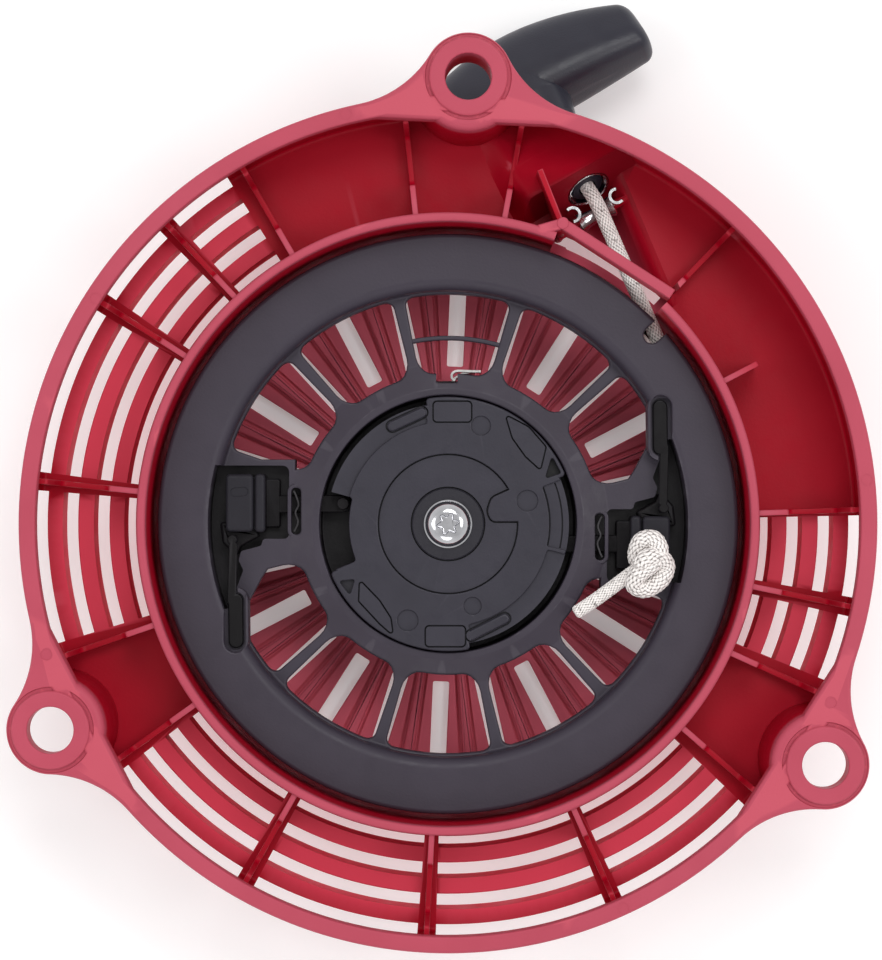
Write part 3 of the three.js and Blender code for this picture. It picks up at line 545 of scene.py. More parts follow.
def plastic(
    name, dark, light, rough, grain=1500, strength=0.25, blotch=45, edge=None, specular=0.5, levels=None,
    marks=(),
):
    """Moulded plastic: cloudy colour, uneven gloss, and a fine grain.

    Its colour also changes with height as painted light and shade, is lighter along convex edges as a painted
    highlight, and changes where the mesh is marked, with painted light on some marks and painted shade on
    others."""
    material, tree, shader = new_material(name)
    coords = object_coords(tree)
    colour = ramped(tree, noise(tree, coords, blotch, 4, 0.55), [(0.3, dark), (0.7, light)])
    if levels:
        colour = by_height(tree, coords, colour, levels)
    if edge:
        colour = painted_edge_highlight(tree, colour, *edge)
    for attribute, tint in marks:
        colour = mixed(tree, attribute_value(tree, attribute), colour, (*tint, 1))
    gloss = remap(tree, noise(tree, coords, blotch * 4, 5, 0.65), *rough)
    fed(tree, shader, Base_Color=colour, Roughness=gloss, Specular_IOR_Level=specular)
    fine = noise(tree, coords, grain, 2, 0.5)
    waves = remap(tree, noise(tree, coords, blotch * 1.6, 2, 0.4), 0, 1.6, 0.2, 0.8)
    bump(tree, shader, [fine, waves], strength, 0.00012)
    return material


def metal(name, colour, rough, grain=700):
    """Turned or drawn steel: fine directional lines and faint tarnish."""
    material, tree, shader = new_material(name)
    coords = object_coords(tree)
    stretched = fed(tree, tree.nodes.new("ShaderNodeMapping"), Vector=coords, Scale=(1, 1, 12))
    lines = noise(tree, stretched.outputs["Vector"], grain, 4, 0.6)
    dark = tuple(c * 0.72 for c in colour)
    tarnish = ramped(tree, noise(tree, coords, 260, 3, 0.5), [(0.3, dark), (0.7, colour)])
    fed(tree, shader, Base_Color=tarnish, Metallic=1, Roughness=remap(tree, lines, *rough))
    bump(tree, shader, [lines], 0.12, 0.00005)
    return material


def fibre(name, pale, fleck_and_shade, shade):
    """Braided cord: filaments along the strands, dark flecks and shade between the strands."""
    material, tree, shader = new_material(name)
    coords = object_coords(tree)
    hairs = noise(tree, coords, 5200, 3, 0.7)
    colour = ramped(tree, hairs, [(0.22, shade), (0.48, pale)])
    flecks = remap(tree, noise(tree, coords, 900, 2, 0.5), 0, 0.55, 0.6, 0.68)
    hollows = remap(tree, attribute_value(tree, "relief"), 1, 0, 0.34, 0.76)
    # The hollows between the strands take the dark colour as painted shade; the flecks are the cord's own
    # colour.
    for share in (flecks, hollows):
        colour = mixed(tree, share, colour, (*fleck_and_shade, 1))
    fed(tree, shader, Base_Color=colour, Roughness=0.62, Sheen_Weight=0.3, Sheen_Roughness=0.4)
    bump(tree, shader, [hairs], 0.35, 0.00008)
    return material


# Painted light: the dome floor and trough floor colours are lighter than the deck, and the rim's paler pink
# is a painted sheen.
FLOOR_LIT_RED, DECK_RED, RIM_SHEEN_RED = (0.8, 0.14, 0.2), (0.42, 0.002, 0.017), (0.475, 0.072, 0.112)
TROUGH_LIT_RED = (0.6, 0.07, 0.12)
WEB_BLACK, DISC_BLACK = (0.044, 0.036, 0.052), (0.031, 0.0285, 0.041)
# The arm's colour, darker than the block's, is painted shade of the recess the arm and tip sit in.
BLOCK_BLACK, ARM_SHADE_BLACK = (0.02, 0.0185, 0.025), (0.004, 0.003, 0.004)
CLOUDS = ((0.84, 0.84, 0.84), (1.0, 1.0, 1.0))
RED = plastic(
    "red_moulded", (0.9, 0.86, 0.86), (1.0, 1.0, 1.0), (0.38, 0.52), specular=0.15,
    # Height levels: painted light on the dome floor and trough floor, a painted sheen on the rim and the tops
    # near it.
    levels=[
        (0, FLOOR_LIT_RED), (4, FLOOR_LIT_RED), (10, DECK_RED), (15, DECK_RED), (18, TROUGH_LIT_RED), (24, TROUGH_LIT_RED),
        (28.5, DECK_RED), (46.5, DECK_RED), (48.6, RIM_SHEEN_RED), (PAD_Z, RIM_SHEEN_RED),
    ],
    # The slat mark's lighter red is painted light on the thin slats; the shade mark's dark red is painted
    # shade on the ramp wall.
    edge=((0.6, 0.1, 0.14), 0.5), marks=(("slat", (0.68, 0.05, 0.09)), ("shade", (0.27, 0.004, 0.014))),
)
BLACK = plastic(
    "black_moulded", *CLOUDS, (0.36, 0.52), blotch=60, specular=0.3,
    # Below the web the colour darkens: painted shade in the reel's depths.
    levels=[(0, (0.008, 0.006, 0.008)), (31.2, (0.01, 0.0075, 0.01)), (33.6, WEB_BLACK), (PAD_Z, WEB_BLACK)],
    edge=((0.12, 0.11, 0.13), 0.25),
)
GUIDE = plastic(
    "guide_moulded", *CLOUDS, (0.36, 0.52), blotch=90, specular=0.3,
    # Below the disc's face the colour darkens: painted shade in its recesses and grooves.
    levels=[
        (0, (0.005, 0.0045, 0.006)), (35.6, (0.006, 0.0055, 0.007)), (36.5, DISC_BLACK), (PAD_Z, DISC_BLACK),
    ],
    edge=((0.11, 0.105, 0.13), 0.1),
)
PAWL = plastic(
    "ratchet_moulded", *CLOUDS, (0.4, 0.6), blotch=120, specular=0.18,
    # Low parts darken as painted shade in the pocket; the arm and tip take the darkest colour, painted shade
    # of their recess.
    levels=[
        (0, (0.005, 0.0035, 0.005)), (34.6, (0.006, 0.0045, 0.006)), (37, BLOCK_BLACK), (37.7, BLOCK_BLACK),
        (37.95, ARM_SHADE_BLACK), (PAD_Z, ARM_SHADE_BLACK),
    ],
    edge=((0.16, 0.155, 0.17), 0.08),
)
RUBBER = plastic(
    "grip_moulded", (0.016, 0.0155, 0.026), (0.023, 0.0225, 0.035), (0.28, 0.42), grain=2600, strength=0.35,
    edge=((0.05, 0.047, 0.06), 0.6), specular=0.4,
)
STEEL = metal("polished_steel", (0.86, 0.86, 0.88), (0.1, 0.22))
CHROME = metal("screw_steel", (0.74, 0.74, 0.77), (0.06, 0.15))
SPRING = metal("spring_steel", (0.62, 0.61, 0.6), (0.25, 0.42))
BLUED = metal("blued_steel", (0.07, 0.066, 0.07), (0.3, 0.45))
ROPE = fibre("rope_braid", (1.0, 0.96, 0.93), (0.07, 0.045, 0.042), (0.72, 0.66, 0.63))


def dressed(obj, name, material, angle):
    """A finished mesh under its own name, with its material and shading."""
    obj.data.materials.clear()
    obj.data.materials.append(material)
    smooth(obj, angle)
    obj.name = obj.data.name = name
    return obj


def finish_piece(obj, name, material, body, replaces=(), angle=32):
    dressed(obj, name, material, angle)
    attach(obj, body)
    if replaces:
        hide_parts(*replaces)


# ------------------------------------------------------------------ cover
def ear_outline():
    """One ear on the +X axis, blended into the rim by two concave fillets."""
    reach, ear_reach = BODY_R + EAR_FILLET_R, EAR_R + EAR_FILLET_R
    cosine = (reach**2 + BOLT_R**2 - ear_reach**2) / (2 * reach * BOLT_R)
    spread = math.degrees(math.acos(cosine))
    fx, fy = polar(reach, spread)
    turn = math.degrees(math.atan2(fy, fx - BOLT_R))
    points = [polar(SHOULDER_R, -spread)]
    points += arc(fx, -fy, EAR_FILLET_R, 180 - spread, 180 - turn, 14)
    points += arc(BOLT_R, 0, EAR_R, -turn, turn, 40)[1:-1]
    points += arc(fx, fy, EAR_FILLET_R, 180 + turn, 180 + spread, 14)
    points += [polar(SHOULDER_R, spread)]
    return points


def envelope(bottom, top):
    """Everything inside the outer wall's face and its chamfered shoulder."""
    inset = 0.2
    shoulder = SHOULDER_R - inset
    foot = [(shoulder, bottom)] if bottom < DECK_UNDER_Z else []
    wall = BODY_R - inset
    profile = [(0, bottom), *foot, (shoulder, DECK_UNDER_Z), (wall, DECK_UNDER_Z + 3), (wall, top), (0, top)]
    return lathe(profile, 240)


def ear(angle, deep):
    """Lobe, sloping boss below it, grooved face and, on the top ear, a deeper seat."""
    lobe = slab(ear_outline(), EAR_UNDER_Z, RIM_Z, 0.5, 0.9)
    profile = rounded([(0, DECK_UNDER_Z, 0), (13, DECK_UNDER_Z, 0), (12, RIM_Z, 1.6), (0, RIM_Z, 0)], 5)
    boss = keep(shifted(lathe(profile, 96), BOLT_R, 0), envelope(DECK_UNDER_Z, RIM_Z + 1))
    parts = add(lobe, boss)
    if deep:
        parts = add(parts, slab(circle(EAR_PAD_R, 72, BOLT_R), DEEP_EAR_UNDER_Z, RIM_Z - 1, 0.6, 0))
    inner, floor = EAR_PAD_R - 0.6, RIM_Z - 0.55
    groove = lathe([(inner, floor), (9.5, floor), (10.1, RIM_Z + 1), (inner, RIM_Z + 1)], 96)
    parts = cut(parts, shifted(groove, BOLT_R, 0))
    parts = add(parts, slab(circle(EAR_PAD_R, 72, BOLT_R), RIM_Z - 1.2, PAD_Z, 0, 0.6))
    return turned(parts, angle)


def ear_hole(angle, deep):
    seat = DEEP_EAR_UNDER_Z if deep else EAR_UNDER_Z
    hole = cutter(circle(EAR_HOLE_R, 64, BOLT_R), DECK_UNDER_Z - 4, PAD_Z, 0.45)
    recess = slab(circle(8, 64, BOLT_R), DECK_UNDER_Z - 4, seat)
    return turned(add(hole, recess), angle)


def rib(angle):
    """Radial rib that dips between the well wall and the rim."""
    corners = [
        (RIB_ROOT, RIB_FOOT, 0), (92.5, RIB_FOOT, 0), (95, 29.5, 0), (95, 46, 0), (90.6, 46, 0.8),
        (89, 34, 1.6), (78, 34, 1.6), (76.5, 48, 0.8), (RIB_ROOT, RIB_TOP, 0),
    ]
    return upright(rounded(corners), RIB_T, angle)


def stub(angle):
    """Short rib that ends on the deck."""
    corners = [(RIB_ROOT, RIB_FOOT, 0), (79.5, RIB_FOOT, 0), (78.5, 47, 0.8), (RIB_ROOT, RIB_TOP, 0)]
    return upright(rounded(corners), RIB_T, angle)


def slot_cutter(inner, outer, start, end):
    """A louvre slot whose outer side leans, so the slat beyond it has a sloping inner third."""
    lean = 0.55
    profile = [
        (inner, DECK_UNDER_Z - 3), (outer, DECK_UNDER_Z - 3), (outer, DECK_UNDER_Z + 0.6),
        (outer + lean, DECK_Z), (outer + lean, DECK_Z + 2), (inner - 0.25, DECK_Z + 2),
        (inner - 0.25, DECK_Z), (inner, DECK_Z - 0.3),
    ]
    return lathe(profile, 240, start, end)


def shoulder_cutter(start, end):
    return lathe([(92.3, 22), (98, 22), (98, 35), (92.3, 35)], 240, start, end)


def ramp_u(z, along):
    """Distance along the heading of a plane parallel to the ramp, at a height."""
    return (z - EXIT.z) * math.tan(DIP * DEG) + along / math.cos(DIP * DEG)


def roof_line(lift, along):
    """Underside or top of the sloping roof over the grip's stem, from outside to the ramp."""
    ramp_top = ROOF_RAMP + lift
    return [
        *[(u, z + lift) for u, z in (ROOF_END, ROOF_OUTER, ROOF_MIDDLE)],
        (ramp_u(ramp_top, along), ramp_top),
    ]


def trough_side(outwards, bottom, top):
    """Everything on the rope's side of the trough's right wall, moved out by a distance."""
    (x0, y0), (x1, y1) = CHANNEL_SIDE
    length = math.hypot(x1 - x0, y1 - y0)
    nx, ny = outwards * (y0 - y1) / length, outwards * (x1 - x0) / length
    return slab([(0, 30), (x1 + nx, y1 + ny), (x0 + nx, y0 + ny), (0, 105)], bottom, top)


def eased(share):
    """0 to 1 with no slope at either end."""
    share = min(max(share, 0), 1)
    return share * share * (3 - 2 * share)


def trough_slope():
    """Smooth slope from the deck down the trough's right side to its floor."""
    (x0, y0), (x1, y1) = CHANNEL_SIDE
    along = Vector((x0 - x1, y0 - y1, 0)).normalized()
    left = Vector((-along.y, along.x, 0))
    width, deck = 11, DECK_Z - 0.02
    profile = [(width * k / 24, deck - (deck - CHANNEL_FLOOR) * eased(k / 24)) for k in range(25)]
    slope = slab([(-1.6, CHANNEL_UNDER), (width, CHANNEL_UNDER), *profile[::-1], (-1.6, deck)], 0, 44)
    moved(slope, frame_matrix(left, Vector((0, 0, 1)), along, (x1, y1, 0)))
    slope = cut(slope, slab(circle(WELL_OUT_R, 240), 0, RIM_Z))
    return keep(slope, slab(circle(LIP_R, 240), 0, RIM_Z))


def roof():
    """Swelling over the grip's stem that rises from the deck on both sides and ends in the ramp wall."""
    low, high, spread = CHANNEL_LOW - CHANNEL_WALL, CHANNEL_HIGH + CHANNEL_WALL, 7
    steps = [spread * k / 10 for k in range(11)]
    stations = [low - spread + step for step in steps] + [high + step for step in steps]
    line = curve_through(roof_line(ROOF_T + 0.35, -RAMP_HALF), 8)
    base = DECK_UNDER_Z
    loops = []
    for v in stations:
        rise = eased(1 - max(low - v, v - high, 0) / spread)
        tops = [(u, DECK_Z - 0.6 + (z - DECK_Z + 0.6) * rise) for u, z in line]
        top = tops[-1][1]
        outline = [
            (ramp_u(base, -RAMP_HALF), base), (ROOF_END[0], base), *tops[:-1], (ramp_u(top, -RAMP_HALF), top),
        ]
        loops.append([(*plan_point(u, v), z) for u, z in outline])
    return loft(loops)


def channel_walls():
    low, high = CHANNEL_LOW - CHANNEL_WALL, CHANNEL_HIGH + CHANNEL_WALL
    trough = across_prism([
        (TROUGH_END, CHANNEL_UNDER), (ramp_u(CHANNEL_UNDER, RAMP_HALF), CHANNEL_UNDER),
        (ramp_u(DECK_Z, RAMP_HALF), DECK_Z), (TROUGH_END, DECK_Z),
    ], low, high)
    trough = keep(trough, trough_side(CHANNEL_WALL, 0, RIM_Z))
    hull = cut(envelope(CHANNEL_UNDER - 1, RIM_Z), slab(circle(WELL_OUT_R - 1, 240), 0, 60))
    return keep(add(trough, roof()), hull)


def channel_voids():
    top = RIM_Z + 5
    ramp_top = ROOF_RAMP + ROOF_T
    end, face = TROUGH_END - 2, ramp_u(ramp_top, -RAMP_HALF)
    trough = across_prism([
        (end, CHANNEL_FLOOR), (ramp_u(CHANNEL_FLOOR, -RAMP_HALF), CHANNEL_FLOOR), (face, ramp_top),
        (face, top), (end, top),
    ], CHANNEL_LOW, CHANNEL_HIGH)
    reach = cut(slab(circle(LIP_R, 240), 0, top), slab(circle(WELL_OUT_R, 240), -1, top + 1))
    trough = keep(trough, reach, trough_side(0, 0, top))
    low = DECK_UNDER_Z - 12
    recess = across_prism([
        (ramp_u(low, RAMP_HALF), low), (ROOF_END[0], low), *roof_line(0, RAMP_HALF),
    ], CHANNEL_LOW, CHANNEL_HIGH)
    recess = keep(recess, slab(circle(BODY_R + 2, 240), 0, 70))
    return [trough, recess]


def plan_point(u, v):
    x = EXIT.x + u * math.cos(HEADING * DEG) + v * math.sin(HEADING * DEG)
    y = EXIT.y + u * math.sin(HEADING * DEG) - v * math.cos(HEADING * DEG)
    return x, y


ROLLER_U, ROLLER_V, ROLLER_Z = -6.8, -1.3, ROPE_Z - ROPE_R - 0.3 - 2


def roller_rod():
    left, right = plan_point(ROLLER_U, CHANNEL_LOW - 1), plan_point(ROLLER_U, CHANNEL_HIGH + 1)
    rod = slab(circle(1.1, 24), 0, math.dist(left, right))
    return moved(rod, frame_matrix(ACROSS, PULL, BAR, (*left, ROLLER_Z)))


BRIDGE_POST = (25.7, 67.3)


def bridge():
    """Bar over the rope between the well wall's two ends, its post and the spur on the deck."""
    return [
        wall_between(BRIDGE_POST, (50.2, 51.4), 2.4, 43, WELL_TOP_Z, 0.5),
        wall_between((20.4, 65.8), BRIDGE_POST, 2.4, 43, WELL_TOP_Z, 0.5),
        slab(circle(1.35, 32, *BRIDGE_POST), CHANNEL_FLOOR, WELL_TOP_Z + 0.3, 0, 0.3),
        wall_between(BRIDGE_POST, (20.7, 79.8), 1.3, DECK_Z - 1, 46),
    ]


DOME_SLOTS = 24
SLOT_START, RIDGE_START, DOME_STEP = 12.5, 20, 360 / DOME_SLOTS


def dome_slots():
    """Radial slots through the dome, and the twin grooves that edge a ridge between each two."""
    tools = []
    for i in range(DOME_SLOTS):
        outline = rectangle(37.8, 58, -1.95, 1.95, 0.5)
        tools.append(turned(cutter(outline, -1, FLOOR_T, 0.35), SLOT_START + DOME_STEP * i))
        for side in (-1, 1):
            line = [(34.6, side * 1.0), (59, side * 1.8), (59, side * 2.4), (34.6, side * 1.5)]
            tools.append(turned(slab(line, FLOOR_T - 0.9, FLOOR_T + 1), RIDGE_START + DOME_STEP * i))
    return gathered(tools)


def dome_ridges():
    ridge = fillet([(34.2, -0.75), (59.4, -1.45), (59.4, 1.45), (34.2, 0.75)], 0.5)
    ridges = [slab(ridge, 1, FLOOR_T + 1.2, 0, 0.7) for _ in range(DOME_SLOTS)]
    return gathered([turned(obj, RIDGE_START + DOME_STEP * i) for i, obj in enumerate(ridges)])


def cover():
    corners = [
        (0, 0, 0), (WELL_OUT_R, 0, 5), (WELL_OUT_R, DECK_UNDER_Z, 1.2), (SHOULDER_R, DECK_UNDER_Z, 1),
        (BODY_R, 29, 1), (BODY_R, RIM_Z, 0.9), (LIP_R, RIM_Z, 0.5), (LIP_R, 48.4, 0.3), (94, 46.4, 0.4),
        (94, DECK_Z, 1.0), (WELL_OUT_R, DECK_Z, 0.8), (WELL_OUT_R, WELL_TOP_Z, 0.7),
        (WELL_IN_R, WELL_TOP_Z, 0.7), (WELL_IN_R, FLOOR_T, 3), (0, FLOOR_T, 0),
    ]
    body = lathe(rounded(corners), 300)
    post = lathe([(0, 1), (7, 1), (7, 22), (5, 22), (5, 28.2), (4.7, 28.5), (0, 28.5)], 48)
    body = add(body, post)
    for i, angle in enumerate(EAR_ANGLES):
        body = add(body, ear(angle, i == 0))
    body = add(body, *[rib(a) for a in RIB_ANGLES], stub(STUB_ANGLE))
    slots = [slot_cutter(r0, r1, a0, a1) for a0, a1 in BAYS for r0, r1 in LOUVRES]
    slots += [shoulder_cutter(a0, a1) for a0, a1 in BAYS]
    body = add(cut(body, gathered(slots), dome_slots()), dome_ridges())
    body = cut(body, *[ear_hole(a, i == 0) for i, a in enumerate(EAR_ANGLES)])
    body = add(body, channel_walls())
    body = add(cut(body, *channel_voids()), trough_slope())
    gap = slab(sector(67, 73.5, 45.4, 69.5), 22, WELL_TOP_Z + 3)
    floor_gap = slab(sector(70.1, 73, 46.8, 69.2), CHANNEL_UNDER - 1, 23)
    body = cut(body, gap, floor_gap)
    body = add(body, *bridge(), roller_rod())
    seat = in_exit(slab(circle(5.25, 48), -4, 4))
    screw_hole = slab(circle(2.3, 32), 8, 30)
    hook_slot = slab([(8, -0.5), (8, 0.5), (0, 0.5), (0, -0.5)], 6, 19)
    body = cut(body, seat, screw_hole, hook_slot)
    marks = []
    for angle, radius in ((147.4, 93.4), (198, 94.3), (294.5, 94.3), (335, 94.3), (104, 94.3), (6, 94)):
        marks.append(slab(circle(1.3, 24, *polar(radius, angle)), RIM_Z - 0.12, RIM_Z + 1))
    return cut(body, gathered(marks))


def mark_places(obj):
    """Mark the thin slats between the louvre slots, which the red material paints lighter as painted light,
    and the ramp wall's face round the rope exit, which it paints darker as painted shade.
    """
    count = len(obj.data.vertices)
    points = np.empty(count * 3)
    obj.data.vertices.foreach_get("co", points)
    x, y, z = (points.reshape(-1, 3) / MM).T
    radius, angle = np.hypot(x, y), np.degrees(np.arctan2(y, x)) % 360
    inside = np.zeros(count, bool)
    for start, end in BAYS:
        swept = (angle - start) % 360
        inside |= (swept > -0.01) & (swept < end - start + 0.01)
    inside &= (radius > 73.8) & (radius < 92) & (z < DECK_Z + 0.3) & (z > DECK_UNDER_Z - 0.3)
    from_exit = points.reshape(-1, 3) / MM - np.array(EXIT)
    past_face = np.abs(from_exit @ np.array(PULL) + RAMP_HALF)
    ramp = (past_face < 0.2) & (z > CHANNEL_FLOOR - 0.5) & (z < ROOF_RAMP + ROOF_T + 1)
    ramp &= np.abs(from_exit @ np.array(BAR)) < CHANNEL_HIGH + CHANNEL_WALL + 1
    set_attribute(obj, "slat", inside)
    set_attribute(obj, "shade", ramp)
    return obj


finish_piece(mark_places(cover()), "cover", RED, "housing", ["housing"], 30)

# ------------------------------------------------------------------ pulley
CORE_IN_R = 53.2
PIVOT = (-46, 5)
POCKET_FLOOR, POCKET_UNDER = 28.2, 26.2
SWING = -6


def convex(points):
    """Convex outline round a set of points."""
    points = sorted(set((round(x, 5), round(y, 5)) for x, y in points))

    def turn(a, b, c):
        return (b[0] - a[0]) * (c[1] - a[1]) - (b[1] - a[1]) * (c[0] - a[0])

    def chain(ordered):
        out = []
        for p in ordered:
            while len(out) > 1 and turn(out[-2], out[-1], p) <= 0:
                out.pop()
            out.append(p)
        return out[:-1]

    return chain(points) + chain(points[::-1])


def swung(points, angle):
    c, s = math.cos(angle * DEG), math.sin(angle * DEG)
    out = []
    for x, y in points:
        dx, dy = x - PIVOT[0], y - PIVOT[1]
        out.append((PIVOT[0] + dx * c - dy * s, PIVOT[1] + dx * s + dy * c))
    return out


def tip_outline(half):
    return capsule(-48.4, -17.5, -48.3, -26.6, half)


def arm_outline(half):
    """The bar that carries the ratchet's tip, over the pocket's narrow end."""
    return capsule(-49.0, -5.0, -49.3, -17.6, half)


def swept(outline):
    """The room that part of a ratchet sweeps."""
    return convex([q for share in (0, 0.5, 1) for q in swung(outline, SWING * share)])


def tip_room(grow):
    return swept(tip_outline(1.7 + grow))


POCKET = [
    (-56, 13.4, 0), (-36.4, 13.4, 1.5), (-36.4, -3.4, 1.2), (-42.4, -3.4, 0.8), (-42.8, -5.0, 0.8),
    (-47.4, -6.2, 0.8), (-48.0, -8.3, 0.8), (-46.9, -10.6, 0.8), (-49.2, -16.6, 0.6), (-50.0, -19.4, 1),
    (-56, -19.4, 0),
]
PLATE = [
    (-50, -4.0), (-40.1, -3.0), (-39.7, -6.4), (-40.6, -9.2), (-42.6, -12.2), (-45.6, -17.8), (-50, -19),
]


def window(centre):
    return turned(cutter(sector(34.6, 52.7, -13.4, 13.4, (4.4, 1.8), 1.5), 30, WEB_TOP, 0.5), centre)


def pulley():
    corners = [
        (5.3, 23, 0), (31, 23, 0), (31, 4.5, 0), (33, 4.5, 0.5), (33, 31, 0.6), (CORE_IN_R, 31, 0.6),
        (CORE_IN_R, 26.4, 0.5), (REEL_R, 26.4, 0.8), (REEL_R, 28.4, 0.5), (55, 28.4, 0.4), (55, 36.8, 0.4),
        (REEL_R, 36.8, 0.4), (REEL_R, REEL_TOP, 1.1), (CORE_IN_R, REEL_TOP, 2.6), (CORE_IN_R, WEB_TOP, 0.7),
        (36.8, WEB_TOP, 1.5), (31.0, 36, 1.5), (29.4, 36, 0.4), (29.4, 25.5, 0.5), (7.5, 25.5, 0.5),
        (7.5, 28.5, 0.3), (5.3, 28.5, 0),
    ]
    body = lathe(rounded(corners, 8), 288)
    windows = [window(27.5 + 30 * i + turn) for i in range(5) for turn in (0, 180)]
    body = cut(body, gathered(windows))
    corners = [(x, y) for x, y, _ in POCKET]
    shells = [
        within(slab(offset(corners, 1.4), POCKET_UNDER, WEB_TOP, 0.4, 0.4), CORE_IN_R + 1),
        within(slab(tip_room(1.3), WEB_TOP - 1, REEL_TOP - 0.7, 0, 0.5), CORE_IN_R + 1),
        slab(fillet(PLATE, 0.8), WEB_UNDER, WEB_TOP, 0.3, 0.4),
        slab(rectangle(-37, -31.8, -3.4, 9.3, 0.5), POCKET_UNDER, POCKET_FLOOR),
    ]
    body = add(body, *with_twins(shells))
    leaf_slot = rectangle(-35.9, -33.7, -2.4, 8.3, 1.0)
    arm_floor, arm_roof = 37, 38.4
    hollows = [
        within(cutter(rounded(POCKET), POCKET_FLOOR, REEL_TOP, 0.5), CORE_IN_R + 1.4),
        slab(tip_room(0.4), arm_floor, arm_roof),
        slab(swept(arm_outline(1.4)), arm_floor, arm_roof),
        cutter(capsule(-48.4, -15, -48.35, -26.7, 2.5), arm_roof - 0.2, REEL_TOP, 0.45),
        cutter(leaf_slot, POCKET_FLOOR, WEB_TOP, 0.3),
        slab(rectangle(-44, -28, -2.6, 9), POCKET_FLOOR, WEB_TOP - 2.2),
    ]
    body = cut(body, *with_twins(hollows))
    body = add(body, *with_twins([slab(circle(2, 32, *PIVOT), POCKET_UNDER + 0.5, 33, 0, 0.4)]))
    rim_top = WEB_TOP + 0.35
    body = add(body, *with_twins([slab(offset(leaf_slot, 0.9), WEB_TOP - 0.5, rim_top, 0, 0.3)]))
    body = cut(body, *with_twins([cutter(leaf_slot, POCKET_FLOOR, rim_top, 0.25)]))
    body = add(body, slab(sector(42.2, 43.2, 73, 102), WEB_UNDER, WEB_TOP - 0.3, 0.3, 0.35))
    notch = cutter(capsule(63.2, 0, 70, 0, 1.9), 36, REEL_TOP, 0.6)
    body = cut(body, turned(notch, 42.8))
    hook_notch = cutter(rectangle(-2.7, 2.2, 32.3, 38, 0.6), 29, 35.5, 0.4)
    hook_window = turned(slab(rectangle(28, 38, -3.2, 3.2), 5.9, 19.1), 89.5)
    return cut(body, hook_notch, hook_window)


finish_piece(pulley(), "pulley", BLACK, "reel", ["reel"], 13)


# ------------------------------------------------------------------ ratchets
def pawl():
    block = slab(rectangle(-50.7, -44.4, -1.8, 11.4, 1.0), 28.6, 37.6, 0.3, 0.9)
    ridge = slab(rectangle(-44.1, -41.7, -1.9, 11.5, 0.9), 28.6, 37.3, 0.3, 0.8)
    web = slab(rectangle(-45.5, -43, -1.2, 10.8), 28.8, 35.6)
    shelf = slab(rectangle(-42.5, -38.6, -0.8, 10.4, 0.6), 28.7, 31.2, 0.2, 0.5)
    flap = slab(fillet([
        (-52.3, 0.4), (-50.5, 0.6), (-44.0, -0.6), (-43.3, -2.9), (-44.4, -3.4), (-47.6, -5.2),
        (-48.6, -7.6), (-51.7, -4.2),
    ], 0.7), 28.8, 34.2, 0.3, 0.7)
    arm = slab(arm_outline(1.0), 37.2, 38.1, 0.1, 0.3)
    column = slab(circle(1.1, 32, -49.2, -3.6), 28.9, 38.1, 0.2, 0.3)
    tip = slab(tip_outline(1.7), 37.2, 38.15, 0.1, 0.4)
    cam = slab(capsule(-43, 4.5, -24.05, 4.7, 2), 28.6, 31.1, 0.3, 0.4)
    pin = slab(circle(1.4, 32, -24.05, 4.7), 29, 34.4, 0, 0.3)
    body = add(block, web, ridge, shelf, flap, arm, column, tip, cam, pin)
    body = cut(body, slab(circle(2.3, 32, *PIVOT), 27, 33.4))
    dent = cutter(capsule(-48.6, 7.2, -46.6, 7.4, 1.0), 37.35, 37.6, 0.12)
    return cut(body, dent)


for obj, side in zip(with_twins([pawl()]), ("left", "right")):
    body = "ratchet_" + side
    finish_piece(obj, "pawl_" + side, PAWL, body, [body], 35)


def ribbon(path, thickness, bottom, top):
    """A strip on edge along a path in plan."""
    p = np.array(path, float)
    d = np.gradient(p, axis=0)
    d /= np.maximum(np.linalg.norm(d, axis=1, keepdims=True), 1e-9)
    n = np.stack([-d[:, 1], d[:, 0]], 1) * thickness / 2
    outline = [tuple(q) for q in p + n] + [tuple(q) for q in (p - n)[::-1]]
    return slab(outline, bottom, top)


LEAF = [(-35.4, 7.6), (-34.9, 6.6), (-34.3, 4.4), (-35.0, 2.6), (-34.4, 0.6), (-34.9, -1.0), (-35.3, -1.7)]
leaf = ribbon(curve_through(LEAF, 6), 0.35, 31.9, 33.4)
for obj, side in zip(with_twins([leaf]), ("left", "right")):
    finish_piece(obj, "leaf_" + side, BLUED, "reel", ["ratchet_spring_" + side])

HOOK = [(7.5, 34.95), (5.2, 35.0), (3.2, 35.1), (1.7, 35.0), (0.9, 34.3), (0.95, 33.4), (1.6, 32.85)]
hook = ribbon(curve_through(HOOK, 6), 0.5, 31.2, 34.4)
finish_piece(hook, "spring_hook", SPRING, "reel")


# ------------------------------------------------------------------ guide disc and screw
GUIDE_TOP = 37.5


def groove(outline, width=0.36, depth=1.5):
    """Tool that cuts a narrow line along a closed outline in the guide's face."""
    low, high = GUIDE_TOP - depth, GUIDE_TOP + 1
    outer = slab(offset(outline, width / 2), low, high)
    return cut(outer, slab(offset(outline, -width / 2), low - 1, high + 1))


def arc_groove(radius, start, end, width=0.36, depth=1.5):
    outline = sector(radius - width / 2, radius + width / 2, start, end, 0.1, 1.0)
    return slab(outline, GUIDE_TOP - depth, GUIDE_TOP + 1)


